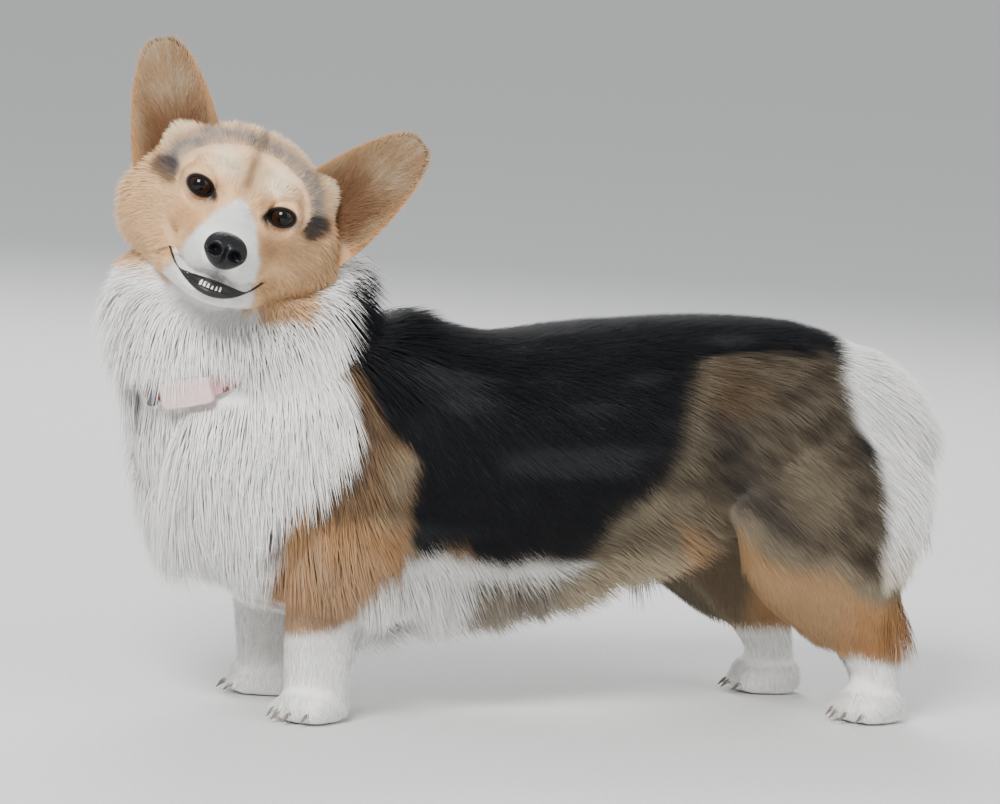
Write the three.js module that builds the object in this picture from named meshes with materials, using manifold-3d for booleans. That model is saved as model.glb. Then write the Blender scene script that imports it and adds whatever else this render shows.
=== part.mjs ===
// A standing tricolour Pembroke Welsh corgi as a still, life-size model, in millimetres, +Z up.
// The spine runs along X with the chest at -X. The dog's left side faces -Y, and its head is
// turned to the left and tilted. Each named part is one closed body, and parts that meet keep a
// gap of SEAM between their faces.
import * as THREE from "three";
import { RoundedBoxGeometry } from "three/addons/geometries/RoundedBoxGeometry.js";
import { ParametricGeometry } from "three/addons/geometries/ParametricGeometry.js";
import { mergeVertices } from "three/addons/utils/BufferGeometryUtils.js";
import Module from "manifold-3d";

const wasm = await Module();
wasm.setup();

// Driving sizes.
const SEAM = 0.3;
const LEFT = -1;
const RIGHT = 1;
const ORIGIN = new THREE.Vector3(2, -13, 0);
// Facets round and along each skin.
const FACETS = {
  torso: [20, 18],
  neck: [18, 10],
  skull: [20, 16],
  jaw: [12, 8],
  ear: [14, 10],
  leg: [12, 10],
  paw: [10, 6],
  toe: [7, 4],
  eye: [10, 6],
  ball: [12, 8],
  nostril: [8, 4],
  lip: [6, 16],
  lid: [5, 14],
  band: 26,
};

// The torso, from rump to chest: x, crown height, keel height, half width.
const TORSO = [
  { x: 282, crown: 236, keel: 132, half: 62 },
  { x: 245, crown: 266, keel: 122, half: 84 },
  { x: 195, crown: 283, keel: 116, half: 92 },
  { x: 130, crown: 286, keel: 116, half: 95 },
  { x: 50, crown: 280, keel: 94, half: 101 },
  { x: -30, crown: 271, keel: 76, half: 102 },
  { x: -100, crown: 279, keel: 62, half: 100 },
  { x: -160, crown: 276, keel: 62, half: 96 },
  { x: -215, crown: 264, keel: 80, half: 84 },
  { x: -256, crown: 238, keel: 106, half: 66 },
];
const TORSO_CAP = { rump: 22, chest: 24 };
// The height of the widest line of the trunk, as a share from keel to crown.
const TORSO_WAIST = 0.56;
const CHEST_CUT = -122;
const RUMP_CUT = 128;

// The neck, from between the shoulders to the nape: centre, half depth, half width.
const NECK = [
  { at: [-172, 0, 178], depth: 92, half: 70 },
  { at: [-196, 2, 222], depth: 92, half: 70 },
  { at: [-210, 8, 264], depth: 89, half: 64 },
  { at: [-213, 18, 304], depth: 80, half: 53 },
  { at: [-210, 24, 336], depth: 58, half: 42 },
];
const NECK_CAP = { low: 40, high: 24 };

// The head frame: X forward, Y to the dog's left, Z up, its origin midway between the eyes.
const HEAD = {
  at: new THREE.Vector3(-237, -50, 352),
  turn: 72.4,
  lift: 0,
  tilt: 18,
};
// The skull and upper jaw: distance forward, crown, floor, height of the widest line, half width.
const SKULL = [
  { a: -86, crown: 30, floor: -50, waist: -14, half: 50 },
  { a: -64, crown: 46, floor: -68, waist: -20, half: 68 },
  { a: -38, crown: 50, floor: -73, waist: -24, half: 74 },
  { a: -14, crown: 40, floor: -68, waist: -24, half: 64 },
  { a: 3, crown: 18, floor: -52, waist: -20, half: 48 },
  { a: 18, crown: 2, floor: -45, waist: -24, half: 36 },
  { a: 38, crown: -9, floor: -46, waist: -28, half: 28.5 },
  { a: 60, crown: -15, floor: -47, waist: -32, half: 24 },
  { a: 73, crown: -19, floor: -46, waist: -34, half: 18 },
];
const SKULL_CAP = { back: 14, front: 7 };
const JAW = [
  { a: -20, crown: -44, floor: -74, waist: -58, half: 44 },
  { a: 2, crown: -44, floor: -73, waist: -56, half: 39 },
  { a: 24, crown: -44, floor: -71, waist: -56, half: 32 },
  { a: 44, crown: -48, floor: -70, waist: -58, half: 24 },
  { a: 57, crown: -52, floor: -67, waist: -59, half: 16 },
];
const JAW_CAP = [10, 6];
// The swell of the skull under each ear.
const EAR_SEAT = { at: [-54, 42, 22], half: [17, 26, 25] };
const EYE = { a: 3, e: 29, v: 0, radius: 10.5, out: 20, wide: 12.5, high: 8.5, lid: 2, seat: 0.62 };
const NOSE = { a: 80, v: -30, half: 14.5, up: 12, deep: 9 };
const NOSTRIL = { apart: 6.5, deep: 7, drop: 1, half: [5, 3.2, 3.6] };
// The mouth's line from its corners to the middle of the lips: forward, half spread, height.
const MOUTH = { corner: [18, 37, -45], side: [46, 25, -54], front: [64, 0, -58] };
const LIP = { half: 4, corner: 0.45, stations: 8 };
// The lower front teeth: cones on the mouth's line, a step apart, set back and up.
const TOOTH = { count: 6, radius: 1.5, tall: 9, step: 0.033, back: 3.5, raise: 2 };
const EAR = {
  root: new THREE.Vector3(-36, 55, 11),
  tip: new THREE.Vector3(-30, 95, 81),
  half: 32,
  thick: 2.6,
  cup: 15,
  sway: 6,
  buried: 0.25,
  round: 2.6,
  narrow: 0.25,
  flatten: 0.6,
};

// Legs, from the trunk down: centre, half length along the body, half width across it.
const FORELEG = [
  { at: [-150, 62, 170], fore: 52, side: 30 },
  { at: [-150, 66, 135], fore: 52, side: 33 },
  { at: [-156, 63, 100], fore: 42, side: 31 },
  { at: [-162, 57, 68], fore: 32, side: 25 },
  { at: [-162, 53, 40], fore: 28, side: 22 },
  { at: [-161, 51, 18], fore: 26, side: 21 },
];
const HINDLEG = [
  { at: [196, 60, 205], fore: 66, side: 32 },
  { at: [202, 70, 165], fore: 80, side: 36 },
  { at: [210, 71, 125], fore: 71, side: 34 },
  { at: [226, 68, 92], fore: 50, side: 28 },
  { at: [246, 62, 66], fore: 33, side: 22 },
  { at: [257, 58, 42], fore: 24, side: 19 },
  { at: [260, 57, 18], fore: 22, side: 19 },
];
const LEG_CAP = [26, 14];
const FAR_HIND_STEP = -30;
const PAW = {
  mound: [-2, 0, 12],
  half: [28, 22, 22],
  reach: 19,
  outer: 6,
  splay: 11,
  toe: [14, 7, 10],
  toeHeight: 8,
};
const CLAW = { half: 2.2, long: 12, height: 4.5, droop: 0.5 };
const PAW_TURN = { fore: 24, hind: 14 };
const TAIL = { at: [283, 0, 225], half: [26, 17, 15], droop: 38 };

// The collar, a band round the neck, and its buckle.
const COLLAR = { along: 0.55, lean: 0.17, front: 0.9, width: 15, thick: 2.5 };
const BUCKLE = { long: 36, wide: 19, thick: 8, round: 3, turn: 0.875 };
const BUCKLE_SUNK = 2;
const SLIDE = { long: 6, wide: 19, thick: 6, round: 2, turn: 0.822 };

// The coat's locks: how far a root is sunk, the share of the length behind the root, how far
// the tip hangs along the lie as a share of the length, and the faces round and along.
const LOCK = {
  sink: 8,
  behind: 0.12,
  hang: 0.16,
  tuck: 0.4,
  sides: 4,
  rings: [0, 0.45, 0.8],
  root: 0.7,
  swell: 0.9,
  point: 1.8,
  quick: 1.5,
};

// Rows of locks on each part: v along the skin, how many, the span of u round it, and the size of
// a lock. The lie is the way the hair hangs.
const RUFF = [
  { v: 0.85, count: 6, from: 0.4, to: 1.04, long: 56, wide: 42, thick: 13, lift: 15 },
  { v: 0.72, count: 8, from: 0.3, to: 1.04, long: 58, wide: 42, thick: 14, lift: 16 },
  { v: 0.58, count: 6, from: 0.02, to: 0.76, long: 58, wide: 42, thick: 14, lift: 15 },
  { v: 0.44, count: 4, from: 0.55, to: 0.8, long: 58, wide: 42, thick: 14, lift: 15 },
  { v: 0.3, count: 5, from: 0.6, to: 1, long: 58, wide: 42, thick: 14, lift: 20 },
];
const BIB = [
  { v: 0.94, count: 4, from: 0.52, to: 0.98, long: 50, wide: 42, thick: 13, lift: 12 },
  { v: 0.86, count: 5, from: 0.57, to: 0.93, long: 50, wide: 42, thick: 13, lift: 15 },
  { v: 0.77, count: 5, from: 0.59, to: 0.91, long: 52, wide: 40, thick: 13, lift: 17, tuck: 0.1 },
  { v: 0.69, count: 4, from: 0.65, to: 0.85, long: 52, wide: 38, thick: 12, lift: 20, tuck: 0 },
];
const FRINGE = [0.635, 0.59, 0.54, 0.49, 0.44].map((v, i) => ({
  v,
  count: i % 2 ? 3 : 4,
  from: 0.655,
  to: 0.845,
  long: 60,
  wide: 46,
  thick: 11,
  lift: 23 - 2 * i,
  tuck: 0,
}));
const BREECH = [
  { v: 0.22, count: 3, from: 0.64, to: 0.88, long: 58, wide: 40, thick: 11, lift: 5 },
  { v: 0.33, count: 3, from: 0.62, to: 0.86, long: 58, wide: 38, thick: 11, lift: 8 },
  { v: 0.45, count: 2, from: 0.64, to: 0.86, long: 46, wide: 32, thick: 10, lift: 8 },
];
// The hair of the flank and the front of the thigh.
const FLANK = [
  { v: 0.33, count: 2, from: 0.14, to: 0.36, long: 58, wide: 42, thick: 12, lift: 10 },
  { v: 0.43, count: 2, from: 0.16, to: 0.38, long: 54, wide: 38, thick: 11, lift: 11 },
  { v: 0.55, count: 1, from: 0.18, to: 0.32, long: 46, wide: 34, thick: 10, lift: 10 },
];
const FAR_FLANK_LIFT = 10;
const FEATHER = [
  { v: 0.36, count: 2, from: 0.64, to: 0.86, long: 44, wide: 30, thick: 9, lift: 8 },
  { v: 0.52, count: 1, from: 0.66, to: 0.84, long: 38, wide: 28, thick: 8, lift: 7 },
];
const CHEEK = [
  { v: 0.35, count: 3, from: 0.82, to: 0.98, long: 42, wide: 30, thick: 8, lift: 8 },
  { v: 0.27, count: 3, from: 0.84, to: 1.01, long: 44, wide: 32, thick: 8, lift: 9 },
];
const TAIL_FLUFF = [{ v: 0.45, count: 5, from: 0, to: 1, long: 26, wide: 16, thick: 6, lift: 4 }];
const LIE = {
  ruff: [0.15, 0, -1],
  bib: [0.45, 0, -1],
  fringe: [0.55, 0, -1],
  breech: [0.05, 0, -1],
  feather: [0.35, 0, -1],
  flank: [0.45, 0, -1],
  cheek: [-0.3, 0.25, -1],
};

const up = new THREE.Vector3(0, 0, 1);

// Joins arrays of station values with a smooth curve through them (Catmull-Rom, t from 0 to 1).
function glide(rows, t) {
  const last = rows.length - 1;
  const place = Math.min(Math.max(t, 0), 1) * last;
  const i = Math.min(Math.floor(place), last - 1);
  const f = place - i;
  const a = rows[Math.max(i - 1, 0)];
  const b = rows[i];
  const c = rows[i + 1];
  const d = rows[Math.min(i + 2, last)];
  return b.map((_, k) => {
    const m1 = (c[k] - a[k]) / 2;
    const m2 = (d[k] - b[k]) / 2;
    const rise = c[k] - b[k];
    return b[k] + f * (m1 + f * (3 * rise - 2 * m1 - m2 + f * (m1 + m2 - 2 * rise)));
  });
}

// A closed skin round a path. Each row is [x, y, z, side, over, under], with the half sizes to the
// side, above and below the path. Round caps close both ends. Returns point(u, v): u goes round
// and v along.
function skinRound(rows, caps, axis, upward, grow = 0) {
  const share = 0.12;
  return (u, v, out = new THREE.Vector3()) => {
    const along = Math.min(Math.max((v - share) / (1 - 2 * share), 0), 1);
    const [x, y, z, side, over, under] = glide(rows, along);
    let cap = 0;
    let push = 0;
    if (v < share) {
      cap = ((share - v) / share) * (Math.PI / 2);
      push = -(caps[0] + grow) * Math.sin(cap);
    } else if (v > 1 - share) {
      cap = ((v - 1 + share) / share) * (Math.PI / 2);
      push = (caps[1] + grow) * Math.sin(cap);
    }
    const round = u * 2 * Math.PI;
    const shrink = Math.max(Math.cos(cap), 0);
    const wide = Math.cos(round) * (side + grow) * shrink;
    const high = Math.sin(round) * ((Math.sin(round) > 0 ? over : under) + grow) * shrink;
    const level = new THREE.Vector3().crossVectors(upward, axis(along)).normalize();
    const rise = new THREE.Vector3().crossVectors(axis(along), level).normalize();
    return out
      .set(x, y, z)
      .addScaledVector(level, wide)
      .addScaledVector(rise, high)
      .addScaledVector(axis(along), push);
  };
}

// A geometry over point(u, v), with its seam and poles merged and its collapsed faces dropped.
function geometryOf(point, around, along) {
  const grid = new ParametricGeometry((u, v, out) => point(u % 1, v, out), around, along);
  grid.deleteAttribute("normal");
  grid.deleteAttribute("uv");
  return grid;
}

// A closed manifold solid from a closed geometry.
function solidOf(geometry) {
  const plain = geometry.clone();
  plain.deleteAttribute("normal");
  plain.deleteAttribute("uv");
  const merged = mergeVertices(plain, 1e-3);
  const index = merged.index.array;
  const kept = [];
  for (let i = 0; i < index.length; i += 3) {
    const [a, b, c] = [index[i], index[i + 1], index[i + 2]];
    if (a !== b && b !== c && a !== c) kept.push(a, b, c);
  }
  const build = (faces) =>
    new wasm.Manifold(
      new wasm.Mesh({
        numProp: 3,
        vertProperties: merged.attributes.position.array,
        triVerts: new Uint32Array(faces),
      }),
    );
  const made = build(kept);
  if (made.volume() >= 0) return made;
  for (let i = 0; i < kept.length; i += 3) [kept[i], kept[i + 1]] = [kept[i + 1], kept[i]];
  return build(kept);
}

const join = (pieces) => pieces.reduce((all, piece) => all.add(piece));

// The largest closed surface of a solid.
function largest(solid) {
  return solid.decompose().reduce((a, b) => (b.volume() > a.volume() ? b : a));
}

// A box between two corners as a solid.
function block(low, high) {
  const size = high.map((h, k) => h - low[k]);
  const box = new THREE.BoxGeometry(...size);
  box.translate(...high.map((h, k) => (h + low[k]) / 2));
  return solidOf(box);
}

// A ball stretched to three half sizes as a solid.
function ball(at, half, facets = FACETS.ball, matrix = null) {
  const sphere = new THREE.SphereGeometry(1, ...facets);
  sphere.scale(...half);
  if (matrix) sphere.applyMatrix4(matrix);
  sphere.translate(...at);
  return solidOf(sphere);
}

const torsoRows = TORSO.map((s) => {
  const middle = s.keel + (s.crown - s.keel) * TORSO_WAIST;
  return [s.x, 0, middle, s.half, s.crown - middle, middle - s.keel];
});
const alongBody = new THREE.Vector3(-1, 0, 0);
const torsoPoint = (grow = 0) =>
  skinRound(torsoRows, [TORSO_CAP.rump, TORSO_CAP.chest], () => alongBody, up, grow);
const torso = (grow = 0) => solidOf(geometryOf(torsoPoint(grow), ...FACETS.torso));

const neckCurve = new THREE.CatmullRomCurve3(NECK.map((s) => new THREE.Vector3(...s.at)));
const neckRows = NECK.map((s) => [...s.at, s.half, s.depth, s.depth]);
const neckAxis = (t) => neckCurve.getTangent(t);
const neckPoint = (grow = 0) =>
  skinRound(neckRows, [NECK_CAP.low, NECK_CAP.high], neckAxis, new THREE.Vector3(1, 0, 0), grow);
const neck = (grow = 0) => solidOf(geometryOf(neckPoint(grow), ...FACETS.neck));

// The head's pose: turned to the left of straight ahead (-X), then pitched, then tilted.
function headPose() {
  const spin = (axis, degrees) =>
    new THREE.Quaternion().setFromAxisAngle(axis, THREE.MathUtils.degToRad(degrees));
  const turn = spin(up, 180 + HEAD.turn);
  const pitch = spin(new THREE.Vector3(0, 1, 0), -HEAD.lift);
  const tilt = spin(new THREE.Vector3(1, 0, 0), -HEAD.tilt);
  return turn.multiply(pitch).multiply(tilt);
}
const headMatrix = new THREE.Matrix4().compose(
  HEAD.at,
  headPose(),
  new THREE.Vector3(1, 1, 1),
);
const forward = new THREE.Vector3(1, 0, 0);
const bandRows = (stations) =>
  stations.map((s) => {
    return [s.a, 0, s.waist, s.half, s.crown - s.waist, s.waist - s.floor];
  });
function skullPoint(grow = 0) {
  const caps = [SKULL_CAP.back, SKULL_CAP.front];
  const point = skinRound(bandRows(SKULL), caps, () => forward, up, grow);
  return (u, v, out = new THREE.Vector3()) => point(u, v, out).applyMatrix4(headMatrix);
}
const skull = (grow = 0) => solidOf(geometryOf(skullPoint(grow), ...FACETS.skull));
const jaw = (grow = 0) =>
  solidOf(
    geometryOf(
      skinRound(bandRows(JAW), JAW_CAP, () => forward, up, grow),
      ...FACETS.jaw,
    ).applyMatrix4(headMatrix),
  );

// An ear: a cupped leaf from its root to its round tip, its hollow facing forward and out.
function ear(side, grow = 0) {
  const root = EAR.root.clone();
  const tip = EAR.tip.clone();
  root.y = -side * root.y + EAR.sway;
  tip.y = -side * tip.y + EAR.sway;
  const spine = tip.clone().sub(root);
  const across = new THREE.Vector3(0, -side, 0).cross(spine).cross(spine).normalize();
  const out = new THREE.Vector3().crossVectors(spine, across).normalize();
  if (out.x < 0) out.negate();
  const point = (u, v) => {
    const angle = u * 2 * Math.PI;
    const h = -EAR.buried + (1 + EAR.buried) * v;
    const free = Math.max(h, 0);
    const taper = Math.sqrt(Math.max(1 - free ** EAR.round, 0)) * (1 - EAR.narrow * free);
    const w = Math.cos(angle) * (EAR.half * taper + grow);
    const skin = Math.sin(angle) * (EAR.thick + grow) * Math.sqrt(Math.max(1 - v ** 8, 0));
    const bowl = -EAR.cup * (1 - (w / EAR.half) ** 2) * (1 - EAR.flatten * v);
    return root
      .clone()
      .addScaledVector(spine, h)
      .addScaledVector(across, w)
      .addScaledVector(out, bowl + skin);
  };
  const closed = (u, v, target) => {
    const end = Math.min(Math.max(v, 1e-3), 1 - 1e-3);
    const p = point(u, end);
    const middle = point(0, end).add(point(0.5, end)).multiplyScalar(0.5);
    if (v === 0 || v === 1) p.copy(middle);
    return target.copy(p);
  };
  return solidOf(geometryOf(closed, ...FACETS.ear).applyMatrix4(headMatrix));
}

const leg = (stations, side, step = 0) =>
  stations.map((s) => [s.at[0] + step, s.at[1] * side, s.at[2], s.side, s.fore, s.fore]);
const downward = new THREE.Vector3(0, 0, -1);
// Further than any part reaches.
const wide = 400;
const legPoint = (stations, side, step, grow = 0) =>
  skinRound(leg(stations, side, step), LEG_CAP, () => downward, alongBody, grow);

// A paw: a low mound with four toes in an arc, each with a claw, cut flat at the floor. It is
// made pointing to -X and turned out.
function paw([legX, legY], side, step, turnOut, grow = 0) {
  const turn = THREE.MathUtils.degToRad(-side * turnOut);
  const place = new THREE.Matrix4()
    .makeRotationZ(turn)
    .setPosition(legX + step, legY * side, 0);
  const part = (at, half, facets) => {
    const sphere = new THREE.SphereGeometry(1, ...facets);
    sphere.rotateX(Math.PI / 2);
    sphere.scale(...half.map((h) => h + grow));
    return solidOf(sphere.translate(...at).applyMatrix4(place));
  };
  const pieces = [part(PAW.mound, PAW.half, FACETS.paw)];
  for (const k of [-1.5, -0.5, 0.5, 1.5]) {
    const reach = PAW.reach - (Math.abs(k) < 1 ? 0 : PAW.outer);
    pieces.push(part([-reach, k * PAW.splay, PAW.toeHeight], PAW.toe, FACETS.toe));
    const claw = new THREE.ConeGeometry(CLAW.half + grow, CLAW.long + grow, 4);
    claw.rotateZ(Math.PI / 2).rotateY(-CLAW.droop);
    claw.translate(-reach - PAW.toe[0], k * PAW.splay, CLAW.height);
    pieces.push(solidOf(claw.applyMatrix4(place)));
  }
  const x = legX + step;
  const y = legY * side;
  return join(pieces).intersect(block([x - wide, y - wide, -grow], [x + wide, y + wide, wide]));
}

// The model, with the head's parts in a group of their own that holds the head's pose.
const group = new THREE.Group();
const headGroup = new THREE.Group();
headGroup.applyMatrix4(headMatrix);
group.add(headGroup);
const materials = {};
function material(name, colour, roughness = 0.9, metalness = 0) {
  materials[name] ??= new THREE.MeshStandardMaterial({ color: colour, roughness, metalness });
  return materials[name];
}

// Adds a solid as a named mesh. One for the head's group is given in that group's own frame.
function add(name, solid, look, parent = group) {
  const { vertProperties, triVerts, numProp } = solid.getMesh();
  const flat = new Float32Array((vertProperties.length / numProp) * 3);
  for (let i = 0; i < flat.length / 3; i++) {
    flat.set(vertProperties.subarray(i * numProp, i * numProp + 3), i * 3);
  }
  const geometry = new THREE.BufferGeometry()
    .setAttribute("position", new THREE.BufferAttribute(flat, 3))
    .setIndex(new THREE.BufferAttribute(triVerts, 1));
  if (parent !== group) geometry.applyMatrix4(parent.matrix.clone().invert());
  geometry.computeVertexNormals();
  const mesh = new THREE.Mesh(geometry, look);
  mesh.name = name;
  parent.add(mesh);
}

const black = material("black", 0x1b1b20);
const tan = material("tan", 0xc98f56);
const white = material("white", 0xece8e0);
const dark = material("dark", 0x17161a, 0.35);
const pink = material("pink", 0xd9a3a6, 0.5);

const hindStep = (side) => (side === RIGHT ? FAR_HIND_STEP : 0);
const foreSkin = (side, grow) => legPoint(FORELEG, side, 0, grow);
const hindSkin = (side, grow) => legPoint(HINDLEG, side, hindStep(side), grow);
const forelegs = (side, grow) => solidOf(geometryOf(foreSkin(side, grow), ...FACETS.leg));
const hindlegs = (side, grow) => solidOf(geometryOf(hindSkin(side, grow), ...FACETS.leg));
const forePaw = (side, grow) => paw(FORELEG.at(-1).at, side, 0, PAW_TURN.fore, grow);
const hindPaw = (side, grow) => paw(HINDLEG.at(-1).at, side, hindStep(side), PAW_TURN.hind, grow);
const sides = [
  [LEFT, "left"],
  [RIGHT, "right"],
];

// The short docked tail, a stub that lies down over the rump.
const tailLay = THREE.MathUtils.degToRad(TAIL.droop);
function tail(grow = 0) {
  const lay = new THREE.Matrix4().makeRotationY(tailLay);
  return ball(TAIL.at, TAIL.half.map((h) => h + grow), FACETS.ball, lay);
}
function tailPoint(u, v) {
  const round = u * 2 * Math.PI;
  const along = (v - 0.5) * Math.PI;
  return new THREE.Vector3(
    TAIL.half[0] * Math.sin(along),
    TAIL.half[1] * Math.cos(along) * Math.cos(round),
    TAIL.half[2] * Math.cos(along) * Math.sin(round),
  )
    .applyAxisAngle(new THREE.Vector3(0, 1, 0), tailLay)
    .add(new THREE.Vector3(...TAIL.at));
}

// The collar, a closed band that follows the neck's skin and rises to the nape.
function collarSpot(u) {
  const dip = COLLAR.lean * Math.cos(2 * Math.PI * (u - COLLAR.front));
  return rootOn(neckPoint(), (u + 1) % 1, COLLAR.along - dip);
}
function collarFrame(u) {
  const { at, out } = collarSpot(u);
  const tangent = collarSpot(u + 0.01).at.sub(collarSpot(u - 0.01).at).normalize();
  const rise = new THREE.Vector3().crossVectors(out, tangent).normalize();
  if (rise.z < 0) rise.negate();
  return { at, out, tangent, rise };
}
function collar(grow = 0) {
  const high = COLLAR.width / 2 + grow;
  const thick = COLLAR.thick + grow;
  const corner = [
    [-high, -thick],
    [-high, thick],
    [high, thick],
    [high, -thick],
  ];
  const ring = (u, v, target) => {
    const { at, out, rise } = collarFrame(u);
    const [over, off] = corner[Math.round(v * 4) % 4];
    return target.copy(at).addScaledVector(rise, over).addScaledVector(out, off);
  };
  return solidOf(geometryOf(ring, FACETS.band, corner.length));
}

// A rounded block on the band, for the buckle at the throat and the slide beside it.
function onCollar(size, grow = 0) {
  const { at, out, tangent } = collarFrame(size.turn);
  const rise = new THREE.Vector3().crossVectors(tangent, out);
  const shape = new RoundedBoxGeometry(
    size.long + 2 * grow,
    size.thick + 2 * grow,
    size.wide + 2 * grow,
    1,
    size.round,
  );
  const place = new THREE.Matrix4().makeBasis(tangent, out, rise);
  place.setPosition(at.addScaledVector(out, COLLAR.thick + size.thick / 2 - BUCKLE_SUNK));
  return solidOf(shape.applyMatrix4(place));
}

// The face: eyes, lids, nose, lips and teeth, placed in the head's frame.
const onHead = (a, e, v) => new THREE.Vector3(a, e, v).applyMatrix4(headMatrix);
const headTurn = new THREE.Matrix4().extractRotation(headMatrix);
const eye = (side, grow = 0) => {
  const r = EYE.radius + grow;
  return ball(onHead(EYE.a, -side * EYE.e, EYE.v).toArray(), [r, r, r], FACETS.eye);
};
function lids(side) {
  const ring = new THREE.TorusGeometry(1, EYE.lid / EYE.wide, ...FACETS.lid);
  ring.scale(EYE.wide, EYE.high, EYE.wide);
  ring.rotateX(Math.PI / 2);
  ring.rotateZ(Math.PI / 2);
  ring.rotateZ(-side * THREE.MathUtils.degToRad(EYE.out));
  const out = THREE.MathUtils.degToRad(EYE.out);
  const reach = EYE.radius * EYE.seat;
  ring.translate(
    EYE.a + reach * Math.cos(out),
    -side * (EYE.e + reach * Math.sin(out)),
    EYE.v,
  );
  return solidOf(ring.applyMatrix4(headMatrix));
}
const nose = (grow = 0) =>
  ball(
    onHead(NOSE.a, 0, NOSE.v).toArray(),
    [NOSE.deep + grow, NOSE.half + grow, NOSE.up + grow],
    FACETS.ball,
    headTurn,
  );
const nostril = (side) =>
  ball(
    onHead(NOSE.a + NOSTRIL.deep, side * NOSTRIL.apart, NOSE.v - NOSTRIL.drop).toArray(),
    NOSTRIL.half,
    FACETS.nostril,
    headTurn,
  );
const mouthLine = new THREE.CatmullRomCurve3(
  [
    [MOUTH.corner, 1],
    [MOUTH.side, 1],
    [MOUTH.front, 1],
    [MOUTH.side, -1],
    [MOUTH.corner, -1],
  ].map(([[a, e, v], hand]) => new THREE.Vector3(a, e * hand, v)),
);
function lip(grow = 0) {
  const rows = Array.from({ length: LIP.stations + 1 }, (_, i) => {
    const t = i / LIP.stations;
    const size = LIP.half * (LIP.corner + (1 - LIP.corner) * Math.sin(Math.PI * t));
    return [...mouthLine.getPoint(t).toArray(), size, size, size];
  });
  const point = skinRound(rows, [2, 2], (t) => mouthLine.getTangent(t), up, grow);
  return solidOf(geometryOf(point, ...FACETS.lip).applyMatrix4(headMatrix));
}
function teeth() {
  return Array.from({ length: TOOTH.count }, (_, i) => {
    const k = i - (TOOTH.count - 1) / 2;
    const at = mouthLine.getPoint(0.5 + k * TOOTH.step);
    const tooth = new THREE.ConeGeometry(TOOTH.radius, TOOTH.tall, 6);
    tooth.rotateX(Math.PI / 2);
    tooth.translate(at.x - TOOTH.back, at.y, at.z + TOOTH.raise);
    return solidOf(tooth.applyMatrix4(headMatrix));
  });
}

// Random numbers that are the same at each run.
let seed = 7;
function chance(low, high) {
  seed = (seed * 16807) % 2147483647;
  return low + ((high - low) * seed) / 2147483647;
}

// The place and outward direction of a skin at (u, v).
function rootOn(point, u, v) {
  const step = 0.004;
  const at = point(u, v).clone();
  const round = point(u + step, v).clone().sub(point(u - step, v));
  const along = point(u, v + step).clone().sub(point(u, v - step));
  const out = round.cross(along).normalize();
  const middle = point(u + 0.5, v).clone().add(at).multiplyScalar(0.5);
  if (out.dot(at.clone().sub(middle)) < 0) out.negate();
  return { at, out };
}

// How far a lock stands off at t along it: quickly up from the root, then back by its tuck.
const rise = (t, tuck) => Math.sin((Math.min(t * LOCK.quick, 1) * Math.PI) / 2) - tuck * t ** 3;

// A lock: a flat, tapered blade that leaves the skin, bends down its lie and ends in a point.
function lock(root, lie, size, grow = 0) {
  const { at, out } = root;
  const run = lie.clone().addScaledVector(out, -lie.dot(out)).normalize();
  const across = new THREE.Vector3().crossVectors(run, out).normalize();
  const middle = (t) =>
    at
      .clone()
      .addScaledVector(run, (t - LOCK.behind) * size.long)
      .addScaledVector(out, (LOCK.sink + size.lift) * rise(t, size.tuck) - LOCK.sink)
      .addScaledVector(lie, size.long * LOCK.hang * t * t);
  const blade = (u, t, target) => {
    const taper = (LOCK.root + LOCK.swell * t) * (1 - t ** LOCK.point);
    const angle = u * 2 * Math.PI;
    const wide = Math.cos(angle) * ((size.wide / 2) * taper + grow);
    const thick = Math.sin(angle) * ((size.thick / 2) * taper + grow);
    return target.copy(middle(t)).addScaledVector(across, wide).addScaledVector(out, thick);
  };
  const steps = LOCK.rings.length + 1;
  const closed = (u, v, target) => {
    if (v > 0 && v < 1) return blade(u, LOCK.rings[Math.round(v * steps) - 1], target);
    return target.copy(middle(v)).addScaledVector(run, v === 0 ? -grow - 1 : grow);
  };
  return solidOf(geometryOf(closed, LOCK.sides, steps));
}

// Locks in rows over a skin, each hanging along its lie. Returns a maker that can grow them all.
function locksOn(point, rows, lie) {
  const made = rows.flatMap((row, j) =>
    Array.from({ length: row.count }, (_, i) => {
      const share = (i + 0.5 + (j % 2 ? 0.2 : -0.2) + chance(-0.1, 0.1)) / row.count;
      const u = (row.from + (row.to - row.from) * share + 1) % 1;
      const size = {
        long: row.long * chance(0.88, 1.12),
        wide: row.wide * chance(0.92, 1.08),
        thick: row.thick,
        lift: row.lift * chance(0.85, 1.15),
        tuck: row.tuck ?? LOCK.tuck,
      };
      return [rootOn(point, u, row.v + chance(-0.01, 0.01)), lie, size];
    }),
  );
  return (grow = 0) => made.map(([root, way, size]) => lock(root, way, size, grow));
}
const way = (at) => new THREE.Vector3(...at).normalize();
const cheekWay = (hand) =>
  way([LIE.cheek[0], LIE.cheek[1] * hand, LIE.cheek[2]]).transformDirection(headMatrix);
const mirrored = (rows) => rows.map((r) => ({ ...r, from: 0.5 - r.to, to: 0.5 - r.from }));
const ruffLocks = locksOn(neckPoint(), RUFF, way(LIE.ruff));
const bibLocks = locksOn(torsoPoint(), BIB, way(LIE.bib));
const fringeLocks = locksOn(torsoPoint(), FRINGE, way(LIE.fringe));
const cheekLocks = [
  locksOn(skullPoint(), CHEEK, cheekWay(1)),
  locksOn(skullPoint(), mirrored(CHEEK), cheekWay(-1)),
];
const flankRows = (side) =>
  FLANK.map((row) => ({ ...row, lift: row.lift + (side === RIGHT ? FAR_FLANK_LIFT : 0) }));
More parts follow.
